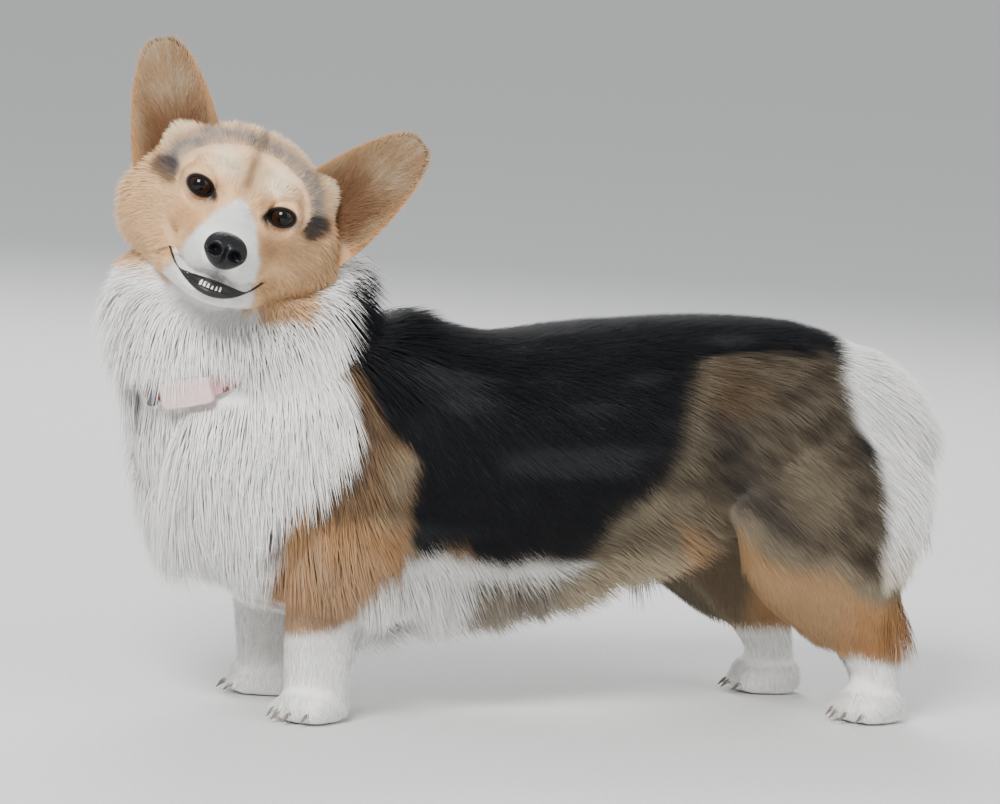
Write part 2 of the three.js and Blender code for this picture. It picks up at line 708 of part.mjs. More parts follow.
const thighLocks = sides.map(([side]) => {
  const breech = locksOn(hindSkin(side), BREECH, way(LIE.breech));
  const flank = locksOn(hindSkin(side), flankRows(side), way(LIE.flank));
  return (grow = 0) => [...breech(grow), ...flank(grow)];
});
const featherLocks = sides.map(([side]) => locksOn(foreSkin(side), FEATHER, way(LIE.feather)));
const cheeks = (grow = 0) => cheekLocks.flatMap((maker) => maker(grow));

// The slabs of the torso, each met by its neighbours on a flat seam.
const slabs = {
  chest: [-wide, CHEST_CUT],
  barrel: [CHEST_CUT, RUMP_CUT],
  rump: [RUMP_CUT, wide],
};
const trunk = torso();
const trunkGrown = torso(SEAM);
function slab(name, solid, gap) {
  const [low, high] = slabs[name];
  return solid.intersect(block([low + gap, -wide, 0], [high - gap, wide, wide]));
}
const half = SEAM / 2;
const othersOf = (name) =>
  Object.keys(slabs)
    .filter((other) => other !== name)
    .map((other) => slab(other, trunkGrown, -half));

// A coated part: its core and its locks, both cut clear of the parts that come before it.
function dressed(core, locks, cuts) {
  const before = join(cuts);
  return largest(join([core, ...locks]).subtract(before));
}

const earSeats = (grow = 0) =>
  [LEFT, RIGHT].map((side) => {
    const [a, e, v] = EAR_SEAT.at;
    const size = EAR_SEAT.half.map((h) => h + grow);
    return ball(onHead(a, -side * e, v).toArray(), size, FACETS.ball, headTurn);
  });
const headGrown = join([skull(SEAM), ...earSeats(SEAM), ...cheeks(SEAM)]);
const legsGrown = [];
sides.forEach(([side, name], i) => {
  const foot = [forePaw(side, SEAM)];
  const hindFoot = [hindPaw(side, SEAM)];
  add(`forepaw_${name}`, largest(forePaw(side, 0)), white);
  add(`hindpaw_${name}`, largest(hindPaw(side, 0)), white);
  add(`foreleg_${name}`, dressed(forelegs(side, 0), featherLocks[i](), foot), tan);
  add(`hindleg_${name}`, dressed(hindlegs(side, 0), thighLocks[i](), hindFoot), tan);
  legsGrown.push(forelegs(side, SEAM), hindlegs(side, SEAM));
  legsGrown.push(...featherLocks[i](SEAM), ...thighLocks[i](SEAM));
});
const collarGrown = [collar(SEAM), onCollar(BUCKLE, SEAM), onCollar(SLIDE, SEAM)];
const tailWay = new THREE.Vector3(Math.cos(tailLay), 0, -Math.sin(tailLay));
const tailLocks = locksOn(tailPoint, TAIL_FLUFF, tailWay);
const tailGrown = [tail(SEAM), ...tailLocks(SEAM)];
const neckGrown = [neck(SEAM), ...ruffLocks(SEAM)];
const jawGrown = join([jaw(SEAM)]);

const chestCuts = [...legsGrown, ...collarGrown, headGrown, jawGrown, ...ruffLocks(SEAM), neck(SEAM)];
const chestCoreCuts = [...legsGrown, ...collarGrown, headGrown, jawGrown];
const chestCore = slab("chest", trunk, half).subtract(join(chestCoreCuts));
const bib = join(bibLocks()).subtract(join([...chestCuts, ...othersOf("chest")]));
add("chest", largest(join([chestCore, bib])), white);
const barrelCore = slab("barrel", trunk, half).subtract(join(legsGrown));
const barrelCuts = [...legsGrown, ...bibLocks(SEAM), ...othersOf("barrel"), ...neckGrown];
const fringe = join(fringeLocks()).subtract(join(barrelCuts));
add("barrel", largest(join([barrelCore, fringe])), black);
add("rump", largest(slab("rump", trunk, half).subtract(join([...legsGrown, ...tailGrown]))), black);
add("tail", dressed(tail(), tailLocks(), [legsGrown[1]]), white);

const trim = join([onCollar(BUCKLE, SEAM), onCollar(SLIDE, SEAM)]);
add("collar_band", largest(collar().subtract(trim)), pink);
add("collar_buckle", onCollar(BUCKLE), pink);
add("collar_slide", onCollar(SLIDE), dark);

const eyesGrown = sides.map(([side]) => eye(side, SEAM));
for (const [side, name] of sides) {
  add(`eye_${name}`, eye(side), dark, headGroup);
  add(`ear_${name}`, largest(ear(side).subtract(headGrown)), tan, headGroup);
}
add("nose", nose().subtract(join([nostril(LEFT), nostril(RIGHT)])), dark, headGroup);
const faceCuts = [...eyesGrown, nose(SEAM), lip(SEAM)];
const face = [lids(LEFT), lids(RIGHT), ...earSeats(), ...cheeks()];
add("head", dressed(skull(), face, faceCuts), tan, headGroup);
add("lips", largest(lip()), dark, headGroup);
add("jaw", dressed(jaw(), teeth(), [headGrown, lip(SEAM)]), white, headGroup);
const neckCuts = [trunkGrown, headGrown, jawGrown, ...collarGrown, ear(LEFT, SEAM), ear(RIGHT, SEAM)];
add("neck", dressed(neck(), ruffLocks(), [...neckCuts, ...legsGrown]), white);

group.position.copy(ORIGIN).negate();

export default group;
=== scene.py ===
import math

import bmesh
import bpy
import numpy as np
from mathutils import Matrix, Vector


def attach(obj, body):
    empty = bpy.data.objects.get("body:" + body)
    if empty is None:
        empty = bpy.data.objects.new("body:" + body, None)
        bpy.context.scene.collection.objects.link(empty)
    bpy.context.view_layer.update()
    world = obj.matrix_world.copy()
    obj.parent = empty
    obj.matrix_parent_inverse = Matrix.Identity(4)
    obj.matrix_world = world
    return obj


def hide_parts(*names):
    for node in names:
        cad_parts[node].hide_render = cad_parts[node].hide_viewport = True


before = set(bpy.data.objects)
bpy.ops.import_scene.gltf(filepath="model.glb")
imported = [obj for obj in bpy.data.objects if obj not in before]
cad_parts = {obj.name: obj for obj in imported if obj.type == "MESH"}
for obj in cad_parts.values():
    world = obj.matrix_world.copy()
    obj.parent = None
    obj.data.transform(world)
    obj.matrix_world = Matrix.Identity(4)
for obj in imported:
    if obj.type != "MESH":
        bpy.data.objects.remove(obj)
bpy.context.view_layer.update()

rng = np.random.default_rng(11)
SHARE = 1.0
GROW = 1.0
ORIGIN = np.array([2.0, -13.0, 0.0])
MM = 0.001
# A full turn, and the least length that a direction is divided by.
TURN = 2 * math.pi
TINY = 1e-9

# sizes shared with the solids
# The torso, from rump to chest: x, crown, keel, half width.
TORSO = [
    (282, 236, 132, 62), (245, 266, 122, 84), (195, 283, 116, 92), (130, 286, 116, 95),
    (50, 280, 94, 101), (-30, 271, 76, 102), (-100, 279, 62, 100), (-160, 276, 62, 96),
    (-215, 264, 80, 84), (-256, 238, 106, 66),
]
# What the coat adds to the torso at each station: over, under, beside.
TORSO_COAT = [
    (9, 12, 9), (8, 12, 8), (7, 10, 7), (7, 9, 7), (7, 8, 7), (7, 8, 7), (7, 8, 7),
    (8, 7, 7), (8, 6, 6), (8, 6, 6),
]
NECK = [
    (-172, 0, 178, 92, 70), (-196, 2, 222, 92, 70), (-210, 8, 264, 89, 64),
    (-213, 18, 304, 80, 53), (-210, 24, 336, 58, 42),
]
NECK_COAT = 6
# How high the middle of the torso lies between keel and crown.
TORSO_MIDDLE = 0.56
HEAD_AT = (-237, -50, 352)
HEAD_TURN, HEAD_TILT = 72.4, 18
# The skull: forward, crown, floor, height of the widest line, half width, bare of its coat.
SKULL = [
    (-86, 26, -44, -12, 46), (-64, 43, -62, -17, 63), (-38, 47, -67, -22, 69),
    (-14, 37, -63, -22, 60), (3, 16, -50, -20, 45), (18, 0, -44, -24, 34),
    (38, -11, -45, -28, 27), (60, -17, -46, -32, 22.5), (72, -21, -45, -34, 16.5),
]
JAW = [
    (-20, -44, -66, -56, 38), (2, -44, -68, -56, 35), (24, -44, -68, -56, 30),
    (44, -48, -68, -58, 23), (56, -52, -66, -59, 15),
]
EYE = dict(a=3, e=29, v=0, r=10.5, out=7, bulge=0.6, cornea=0.62)
LID = dict(half=8.6, upper=6.1, lower=5.9, slant=0.10, thick=1.0, deep=4, reach=14.5)
LID_RIM = dict(half=0.55, lift=0.7, heavier=0.35, wider=1.3)
NOSE = dict(a=80, v=-30, half=14.5, up=12, deep=9)
MOUTH = [(18, 37, -45), (46, 25, -54), (64, 0, -58), (46, -25, -54), (18, -37, -45)]
EAR_ROOT, EAR_TIP, EAR_HALF, EAR_CUP, EAR_SWAY = (-36, 55, 11), (-30, 95, 80), 32, 15, 6
FORELEG = [
    (-150, 62, 170, 52, 30), (-150, 66, 135, 52, 33), (-156, 63, 100, 42, 31),
    (-162, 57, 68, 32, 25), (-162, 53, 40, 28, 22), (-161, 51, 18, 26, 21),
]
HINDLEG = [
    (196, 60, 205, 66, 32), (202, 70, 165, 80, 36), (210, 71, 125, 71, 34),
    (226, 68, 92, 50, 28), (246, 62, 66, 33, 22), (257, 58, 42, 24, 19), (260, 57, 18, 22, 19),
]
LEG_COAT = 6
PAW_COAT = 1.8
FAR_HIND_STEP = -30
PAW = dict(long=28, wide=22, high=22, reach=19, outer=6, toe=(14, 7, 10), splay=11)
PAW_TURN = dict(fore=24, hind=14)
TOES = (-1.5, -0.5, 0.5, 1.5)
TAIL_AT, TAIL_HALF, TAIL_DROOP = (279, 0, 222), (22, 13, 11), 38
# Swells of the head on each side, in its frame: brows, upper lips, whisker pads, roots of ears.
# Each has its place (forward, to the side, up) and its three half sizes.
SWELLS = (
    ((-6, 22, 14), (16, 15, 8)), ((50, 12, -37), (20, 12, 11)),
    ((30, 18, -34), (22, 13, 13)), ((-44, 47, 18), (20, 17, 20)),
)
# How the skin is made: the voxel of the remesh, the smoothing after it, the rounds and pull of the
# easing and how far to the side it starts; then its tone under the tufts.
SKIN = dict(voxel=2.7, factor=0.5, iterations=5, rounds=90, pull=0.5, beyond=45, tone=0.95)


# curves and surfaces
def glide(rows, t):
    """Catmull-Rom through rows of values; t from 0 to 1 gives a row at each place."""
    rows = np.asarray(rows, float)
    last = len(rows) - 1
    place = np.clip(np.asarray(t, float), 0, 1) * last
    i = np.minimum(place.astype(int), last - 1)
    f = (place - i)[..., None]
    a, b = rows[np.maximum(i - 1, 0)], rows[i]
    c, d = rows[i + 1], rows[np.minimum(i + 2, last)]
    m1, m2, up = (c - a) / 2, (d - b) / 2, c - b
    return b + f * (m1 + f * (3 * up - 2 * m1 - m2 + f * (m1 + m2 - 2 * up)))


def unit(v):
    """The same directions at length 1."""
    return v / np.maximum(np.linalg.norm(v, axis=-1, keepdims=True), TINY)


def along_skin(way, n):
    """The part of a direction that runs along the skin, as a unit vector."""
    return unit(way - n * np.einsum("ij,ij->i", way, n)[:, None])


def turned_in(p):
    """True where the triangles p, given by their corners, enclose a negative volume."""
    return np.einsum("ij,ij->i", p[:, 0], np.cross(p[:, 1], p[:, 2])).sum() < 0


def frame_along(rows, t, upward, step=1e-3):
    """Level and rising directions across a path of rows at t, from the way it runs there."""
    axis = unit(glide(rows, t + step)[..., :3] - glide(rows, t - step)[..., :3])
    level = unit(np.cross(np.broadcast_to(np.asarray(upward, float), axis.shape), axis))
    return axis, level, unit(np.cross(axis, level))


def loft(rows, caps, upward, around, along, share=0.12):
    """A closed skin round a path. rows are x, y, z, side, over, under. At v the ring's half sizes
    glide between the rows, and over the first and last share of v they shrink with the cosine
    while the ring moves out with the sine, which makes round caps."""
    v = np.linspace(0, 1, along)
    t = np.clip((v - share) / (1 - 2 * share), 0, 1)
    row = glide(rows, t)
    axis, level, rise = frame_along(rows, t, upward)
    cap = np.where(v < share, (share - v) / share, np.where(v > 1 - share, (v - 1 + share) / share, 0))
    cap = cap * math.pi / 2
    push = np.where(v < 0.5, -caps[0], caps[1]) * np.sin(cap)
    shrink = np.maximum(np.cos(cap), 1e-4)
    u = np.linspace(0, TURN, around, endpoint=False)
    wide = np.cos(u)[None] * (row[:, 3] * shrink)[:, None]
    high = np.sin(u)[None] * np.where(np.sin(u)[None] > 0, row[:, 4:5], row[:, 5:6]) * shrink[:, None]
    return (
        row[:, None, :3]
        + wide[..., None] * level[:, None]
        + high[..., None] * rise[:, None]
        + (axis * push[:, None])[:, None]
    )


def grid_faces(rings, around):
    """Faces of a closed tube of rings, with its two ends closed by fans of the end rings."""
    i, j = np.meshgrid(np.arange(rings - 1), np.arange(around), indexing="ij")
    k = (j + 1) % around
    quads = np.stack([i * around + j, i * around + k, (i + 1) * around + k, (i + 1) * around + j], -1)
    quads = quads.reshape(-1, 4)
    low = [list(range(around))[::-1]]
    high = [list(range((rings - 1) * around, rings * around))]
    return quads.tolist() + low + high


def ball(at, half, around=24, along=16, turn=None):
    """An ellipsoid about at with three half sizes, turned by a 3x3 matrix."""
    th = np.linspace(0.02, math.pi - 0.02, along)[:, None]
    ph = np.linspace(0, TURN, around, endpoint=False)[None]
    p = np.stack([np.sin(th) * np.cos(ph), np.sin(th) * np.sin(ph), np.cos(th) + 0 * ph], -1)
    p = p * np.asarray(half, float)
    if turn is not None:
        p = p @ np.asarray(turn).T
    return p + np.asarray(at, float)


def spin(axis, degrees):
    """The rotation matrix about an axis."""
    return np.array(Matrix.Rotation(math.radians(degrees), 3, axis))


HEAD_ROT = spin("Z", 180 + HEAD_TURN) @ spin("X", -HEAD_TILT)
HEAD_POS = np.array(HEAD_AT, float)


def to_head(p):
    """Places in the head's frame: forward, to the dog's left and up from between the eyes."""
    return (np.asarray(p, float) - HEAD_POS) @ HEAD_ROT


def from_head(q):
    """Places in the part's frame from places in the head's."""
    return np.asarray(q, float) @ HEAD_ROT.T + HEAD_POS


def to_row(p):
    """The part's own millimetres to the record's frame in metres."""
    return (np.asarray(p, float) - ORIGIN) * MM


def mesh_of(name, points, faces):
    """A mesh object at the origin from points in the part's millimetres and faces."""
    mesh = bpy.data.meshes.new(name)
    mesh.from_pydata(to_row(points).tolist(), [], faces)
    mesh.update()
    return placed(name, mesh)


def placed(name, data):
    """A new object of the scene for a mesh, a lamp or the camera."""
    obj = bpy.data.objects.new(name, data)
    bpy.context.scene.collection.objects.link(obj)
    return obj


def dress(obj, look, slot, *nodes):
    """Gives a piece its look and hides the nodes of the solids it stands for; slot is not used."""
    obj.data.materials.append(look)
    if nodes:
        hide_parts(*nodes)
    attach(obj, "root")


def tube_object(name, grid):
    """A closed tube object from a rings x around grid of points."""
    rings, around = grid.shape[:2]
    obj = mesh_of(name, grid.reshape(-1, 3), grid_faces(rings, around))
    outward(obj)
    shade_smooth(obj)
    return obj


def shade_smooth(obj):
    """Smooth shading on every face."""
    obj.data.polygons.foreach_set("use_smooth", [True] * len(obj.data.polygons))


def outward(obj):
    """Turns a closed mesh's faces outward, by the sign of its volume."""
    mesh = obj.data
    mesh.calc_loop_triangles()
    tri = np.empty(len(mesh.loop_triangles) * 3, np.int32)
    mesh.loop_triangles.foreach_get("vertices", tri)
    co = np.empty(len(mesh.vertices) * 3)
    mesh.vertices.foreach_get("co", co)
    if turned_in(co.reshape(-1, 3)[tri.reshape(-1, 3)]):
        mesh.flip_normals()


def smoothstep(lo, hi, x):
    """0 at lo and 1 at hi, along 3 t squared - 2 t cubed; lo may be above hi."""
    t = np.clip((x - lo) / (hi - lo), 0, 1)
    return t * t * (3 - 2 * t)


WAVES = dict(seed=100, count=6, least=0.6, spread=0.9, start=6.28, bend=1.7, even=4.2)


def wave_noise(p, scale, seed=0):
    """Smooth noise of about -1 to 1: sines of the place in fixed directions, each bent by the sine
    of another, added up and divided by even."""
    local = np.random.default_rng(WAVES["seed"] + seed)
    total = 0
    for _ in range(WAVES["count"]):
        way = unit(local.normal(size=3)) * (WAVES["least"] + WAVES["spread"] * local.random()) / scale
        start = local.random() * WAVES["start"]
        total = total + np.sin(p @ way + start + WAVES["bend"] * np.sin(p @ np.roll(way, 1)))
    return total / WAVES["even"]


# the skin
def skin_parts():
    """Rings of points for every fleshy part, inside the solids by the coat's depth."""
    rows = []
    for (x, crown, keel, half), (over, under, side) in zip(TORSO, TORSO_COAT):
        middle = keel + (crown - keel) * TORSO_MIDDLE
        rows.append((x, 0, middle, half - side, crown - over - middle, middle - keel - under))
    parts = [loft(rows, caps=(16, 12), upward=(0, 0, 1), around=64, along=60)]
    rows = path_rows(NECK, NECK_COAT)
    parts.append(loft(rows, caps=(30, 14), upward=(1, 0, 0), around=48, along=40))
    skull, jaw = (
        [(a, 0, mid, half, crown - mid, mid - floor) for a, crown, floor, mid, half in stations]
        for stations in (SKULL, JAW)
    )
    parts.append(from_head(loft(skull, caps=(12, 6), upward=(0, 0, 1), around=64, along=72)))
    parts.append(from_head(loft(jaw, caps=(10, 5), upward=(0, 0, 1), around=40, along=32)))
    for hand in (1, -1):
        for (a, e, v), half in SWELLS:
            parts.append(from_head(ball((a, e * hand, v), half)))
    for side in (-1, 1):
        for stations, shift in ((FORELEG, 0), (HINDLEG, hind_step(side))):
            rows = path_rows(stations, LEG_COAT, shift, side)
            # The coat thins towards the paw.
            rows[-1][3:] += 2
            rows[-2][3:] += 1
            parts.append(loft(rows, caps=(20, 10), upward=(-1, 0, 0), around=40, along=44))
    for foot in paw_places():
        for at, half in paw_balls():
            parts.append(on_paw(foot, ball(at, np.array(half) - PAW_COAT)))
    parts.append(ball(TAIL_AT, TAIL_HALF, turn=spin("Y", TAIL_DROOP)))
    return parts


def path_rows(stations, coat_depth=0.0, shift=0.0, side=1):
    """Rows for a loft from stations of x, y, z, half depth and half width, less the coat."""
    x, y, z, deep, half = np.array(stations, float).T
    deep, half = deep - coat_depth, half - coat_depth
    return np.stack([x + shift, y * side, z, half, deep, deep], -1)


def hind_step(side):
    """How far the hind leg of a side is set back; the far one stands further forward."""
    return FAR_HIND_STEP if side > 0 else 0


def paw_places():
    """Centre and turn of each paw: x, y, side, degrees turned out."""
    places = []
    for side in (-1, 1):
        places.append((FORELEG[-1][0], FORELEG[-1][1] * side, side, PAW_TURN["fore"]))
        back = HINDLEG[-1][0] + hind_step(side)
        places.append((back, HINDLEG[-1][1] * side, side, PAW_TURN["hind"]))
    return places


def toes():
    """How far each toe reaches forward and how far to the side it lies; the outer two are shorter."""
    return [(PAW["reach"] - (0 if abs(k) < 1 else PAW["outer"]), k * PAW["splay"]) for k in TOES]


def paw_balls():
    """The mound and the toes of a paw that points to -X."""
    mound = ((-2, 0, 12), (PAW["long"], PAW["wide"], PAW["high"]))
    return [mound] + [((-reach, across, 8.5), PAW["toe"]) for reach, across in toes()]


def on_paw(place, points):
    """Puts points of a paw that points to -X where that paw stands."""
    x, y, side, out = place
    return np.asarray(points) @ spin("Z", -side * out).T + np.array([x, y, 0.0])


def make_skin():
    """One closed skin: the parts joined by a fine voxel remesh, smoothed and refined at the face."""
    points, faces, base = [], [], 0
    for grid in skin_parts():
        rings, around = grid.shape[:2]
        flat = grid.reshape(-1, 3)
        found = grid_faces(rings, around)
        sides = np.array(found[:-2])[:, :3]
        if turned_in(flat[sides] - flat.mean(0)):
            found = [f[::-1] for f in found]
        points.append(flat)
        faces += [[i + base for i in f] for f in found]
        base += len(flat)
    obj = mesh_of("skin", np.concatenate(points), faces)
    remesh = obj.modifiers.new("join", "REMESH")
    remesh.mode = "VOXEL"
    remesh.voxel_size = SKIN["voxel"] * MM
    smooth = obj.modifiers.new("even", "SMOOTH")
    smooth.factor = SKIN["factor"]
    smooth.iterations = SKIN["iterations"]
    bpy.context.view_layer.update()
    graph = bpy.context.evaluated_depsgraph_get()
    made = bpy.data.meshes.new_from_object(obj.evaluated_get(graph))
    obj.modifiers.clear()
    obj.data = made
    made.name = "skin"
    # The skin is evened where legs and ears join it.
    x, y, z = get_points(made).T
    outer = np.abs(y) > SKIN["beyond"]
    thigh = patch(x, z, (140, 160), 1, 62, 58) * outer
    shoulder = patch(x, z, (-115, 150), 1, 40, 50) * outer
    a, e, v = to_head(get_points(made)).T
    ears = bump(np.hypot(np.hypot((a + 48) / 34, (np.abs(e) - 48) / 28), (v - 24) / 30), 1)
    ease(obj, np.clip(2 * np.maximum(np.maximum(thigh, shoulder), ears * 0.6), 0, 1))
    refine(obj)
    return obj


def ease(obj, weight):
    """Evens the skin where weight is above 0: each point moves towards its neighbours' mean."""
    mesh = obj.data
    edge = np.empty(len(mesh.edges) * 2, np.int32)
    mesh.edges.foreach_get("vertices", edge)
    a, b = edge.reshape(-1, 2).T
    p = get_points(mesh)
    many = np.bincount(np.concatenate([a, b]), minlength=len(p))[:, None]
    for _ in range(SKIN["rounds"]):
        mean = np.zeros_like(p)
        for k in range(3):
            mean[:, k] = np.bincount(a, p[b, k], len(p)) + np.bincount(b, p[a, k], len(p))
        p = p + weight[:, None] * SKIN["pull"] * (mean / np.maximum(many, 1) - p)
    set_points(mesh, p)


def refine(obj):
    """Splits the faces of the face once, then those round the eyes, nose and mouth again."""
    for zone in (1, 2):
        q = to_head(get_points(obj.data))
        bm = bmesh.new()
        bm.from_mesh(obj.data)
        a, e, v = q[:, 0], np.abs(q[:, 1]), q[:, 2]
        if zone == 1:
            inside = (a > -22) & (e < 56) & (v > -74) & (v < 40)
        else:
            eyes = ((a - 6) ** 2 + (e - EYE["e"]) ** 2 + v ** 2 < 17 ** 2) & (a > -6)
            mouth = (a > 8) & (v < -36) & (v > -62)
            inside = eyes | mouth
        chosen = [ed for ed in bm.edges if inside[ed.verts[0].index] and inside[ed.verts[1].index]]
        bmesh.ops.subdivide_edges(bm, edges=chosen, cuts=1, use_grid_fill=True)
        bmesh.ops.triangulate(bm, faces=[f for f in bm.faces if len(f.verts) > 4])
        bm.to_mesh(obj.data)
        bm.free()


def get_points(mesh):
    """A mesh's points in the part's millimetres."""
    co = np.empty(len(mesh.vertices) * 3)
    mesh.vertices.foreach_get("co", co)
    return co.reshape(-1, 3) / MM + ORIGIN


def set_points(mesh, points):
    """Moves a mesh's points, given in the part's millimetres."""
    mesh.vertices.foreach_set("co", to_row(points).ravel())
    mesh.update()


def get_normals(mesh):
    """A mesh's normals, one for each point."""
    n = np.empty(len(mesh.vertices) * 3, np.float32)
    mesh.vertices.foreach_get("normal", n)
    return n.reshape(-1, 3).astype(float)


def bump(r, size):
    """A round falloff: 1 at the centre and 0 at size."""
    return np.clip(1 - (r / size) ** 2, 0, 1) ** 2


def mouth_line(t):
    """The mouth's line in the head's frame, from one corner to the other."""
    return glide(MOUTH, t)


def mouth_open(t):
    """1 in the middle of the mouth, where it is open, and 0 from there to the corners."""
    return bump(t - 0.49, 0.29)


def eye_spot(q):
    """Places seen from in front of the nearer eye: sideways from its centre, up from it, the
    distance from it, and the distance as a share of the almond's edge, which is 1 on the edge."""
    y = np.abs(q[..., 1]) - EYE["e"]
    z = q[..., 2] - EYE["v"] - LID["slant"] * y
    high = np.where(z > 0, LID["upper"], LID["lower"])
    return y, z, np.hypot(y, z), np.hypot(y / LID["half"], z / high)


RELIEF = dict(brow=1.3, under_eye=1.2, furrow=2.0, hollow=3.0, crease=3.0, lip=1.2, groove=1.6)


def shape_face(obj):
    """Moves the skin along its normals by the amounts in RELIEF: brows, the swell under the eyes, a
    furrow down the forehead, hollows beside the bridge, the crease of the mouth, the swell above
    it and a groove under the nose. Then the lids follow a ball just over the eye's outside the
    almond and drop behind it inside."""
    mesh = obj.data
    p = get_points(mesh)
    n = get_normals(mesh)
    q = to_head(p)
    a, e, v = q.T
    side = np.abs(e)
    front = smoothstep(-12, 0, a)
    move = np.zeros(len(p))
    ridge = np.sqrt(((side - EYE["e"] + 4) / 1.8) ** 2 + (v - 15) ** 2)
    move += RELIEF["brow"] * bump(ridge, 11) * front
    under = np.sqrt(((side - EYE["e"]) / 1.6) ** 2 + (v + 13) ** 2)
    move += RELIEF["under_eye"] * bump(under, 8) * front
    furrow = np.exp(-((e / 5) ** 2)) * smoothstep(-2, 12, v) * smoothstep(-60, -10, a)
    move -= RELIEF["furrow"] * furrow
    move -= RELIEF["hollow"] * patch(side, v, (14, -5), 12) * smoothstep(2, 10, a)
    line = mouth_line(np.linspace(0, 1, 41))
    near = np.full(len(p), 1e9)
    above = near.copy()
    for m in line:
        near = np.minimum(near, np.linalg.norm((q - m) * [1, 1, 1.3], axis=1))
        above = np.minimum(above, np.linalg.norm(q - m - [0, 0, 8], axis=1))
    move -= RELIEF["crease"] * bump(near, 6)
    move += RELIEF["lip"] * bump(above, 9) * smoothstep(10, 20, a)
    groove = smoothstep(52, 62, a) * smoothstep(-30, -40, v) * smoothstep(-60, -48, v)
    move -= RELIEF["groove"] * np.exp(-((e / 1.8) ** 2)) * groove
    p = p + n * move[:, None]
    q = to_head(p)
    far, edge = eye_spot(q)[2:]
    ball_high = EYE["a"] + np.sqrt(np.maximum(EYE["r"] ** 2 - far ** 2, (0.5 * EYE["r"]) ** 2))
    lid = ball_high + LID["thick"]
    hold = smoothstep(LID["reach"], LID["half"] + 1.5, far) * smoothstep(-14, -6, q[:, 0])
    q[:, 0] = mix1(q[:, 0], np.where(edge < 0.97, ball_high - LID["deep"], lid), hold)
    set_points(mesh, from_head(q))


SOLE = dict(level=1.6, flat=1.2, press=0.02)


def flatten_soles(obj):
    """Presses what lies below the sole's level up to a thin flat, so the paws stand on the floor."""
    p = get_points(obj.data)
    flat = SOLE["flat"] + SOLE["press"] * (p[:, 2] - SOLE["level"])
    p[:, 2] = np.where(p[:, 2] < SOLE["level"], flat, p[:, 2])
    set_points(obj.data, p)


# colours of the coat
WHITE = np.array([0.88, 0.86, 0.82])
CREAM = np.array([0.52, 0.42, 0.28])
TAN = np.array([0.36, 0.215, 0.105])
ORANGE = np.array([0.36, 0.18, 0.07])
RUST = np.array([0.18, 0.08, 0.035])
BROWN = np.array([0.06, 0.037, 0.024])
BLACK = np.array([0.003, 0.0032, 0.0045])
BLUE = np.array([0.13, 0.13, 0.145])
FACE = np.array([0.72, 0.44, 0.23])

# Edges of the markings seen from the side, as heights and the x of the edge there.
RUFF_EDGE = ([196, 205, 223, 241, 257, 277, 290, 305], [-195, -184, -163, -155, -147, -134, -102, -70])
WEDGE_EDGE = ([112, 126, 137, 150, 171, 185, 197, 206], [-214, -207, -194, -178, -163, -156, -155, -161])
SHOULDER_EDGE = ([114, 132, 148, 160, 178, 192, 209, 232], [-91, -113, -118, -112, -114, -126, -142, -152])
SADDLE_BACK = ([138, 157, 181, 209, 233, 256, 268], [39, 61, 78, 85, 94, 104, 210])
RUMP_EDGE = ([95, 120, 150, 190, 213, 244, 262, 280], [250, 240, 240, 232, 218, 214, 226, 250])
THIGH_FRONT = ([40, 61, 77, 101, 133, 150], [205, 185, 161, 133, 104, 96])
# Edges that run along the body, as places along it and the height of the edge there.
TONGUE_EDGE = ([-198, -152, -140], [196, 228, 232])
SADDLE_EDGE = ([-91, -80, -63, -46, -21, 8, 29, 48, 80], [114, 123, 125, 102, 92, 99, 113, 138, 150])
THIGH_TOP = ([96, 111, 141, 173, 208, 231, 270], [146, 140, 130, 112, 104, 90, 84])
SLEEVE_END = ([-205, -187, -161, -144, -125], [46, 57, 64, 80, 92])
BACK_TOP = ([100, 208, 236], [266, 258, 228])
BELLY_TOP = ([-150, -113, -80, -46, 8, 40, 90], [104, 106, 118, 92, 92, 106, 130])


def mix(a, b, w):
    """From a to b by the share w, for colours and directions."""
    return mix1(a, b, np.asarray(w)[..., None])


def mix1(a, b, w):
    """From a to b by the share w, for single values."""
    return a * (1 - w) + b * w


def past(value, edge, soft=4):
    """0 short of an edge and 1 past it, with a soft step of that half width."""
    return smoothstep(-soft, soft, value - edge)


def past_line(value, line, at, soft=4):
    """The same for an edge given as places along a line and the edge's value at each."""
    return past(value, np.interp(at, *line), soft)


def within(x, a, b, c, d):
    """Rises from 0 at a to 1 at b and falls from 1 at c to 0 at d."""
    return smoothstep(a, b, x) * smoothstep(d, c, x)


def patch(u, v, middle, size, wide=1.0, high=1.0):
    """A round falloff about a place, as large as size and stretched wide and high."""
    return bump(np.hypot((u - middle[0]) / wide, (v - middle[1]) / high), size)


# Where the head ends: an ellipsoid about a place back and down from the eyes, longer ahead of it.
HEAD_EDGE = dict(back=18, down=6, ahead=200, behind=98, wide=86, high=74, soft=(0.97, 1.06))


def head_share(p):
    """1 on the head and 0 on the neck and body, with a soft edge behind the cheeks."""
    a, e, v = to_head(p).T
    back = HEAD_EDGE["back"]
    along = (a + back) / np.where(a > -back, HEAD_EDGE["ahead"], HEAD_EDGE["behind"])
    down = (v + HEAD_EDGE["down"]) / HEAD_EDGE["high"]
    r = np.sqrt(along ** 2 + (e / HEAD_EDGE["wide"]) ** 2 + down ** 2)
    return 1 - smoothstep(*HEAD_EDGE["soft"], r)


def agouti(p, light, dark, seed):
    """Hair banded in two colours: fine streaks of noise over a slow drift between the two."""
    streak = 0.5 * wave_noise(p * [0.5, 1, 0.8], 2.4, seed) + 0.05 * wave_noise(p, 14, seed + 1)
    return mix(light, dark, smoothstep(-0.75, 0.75, streak))


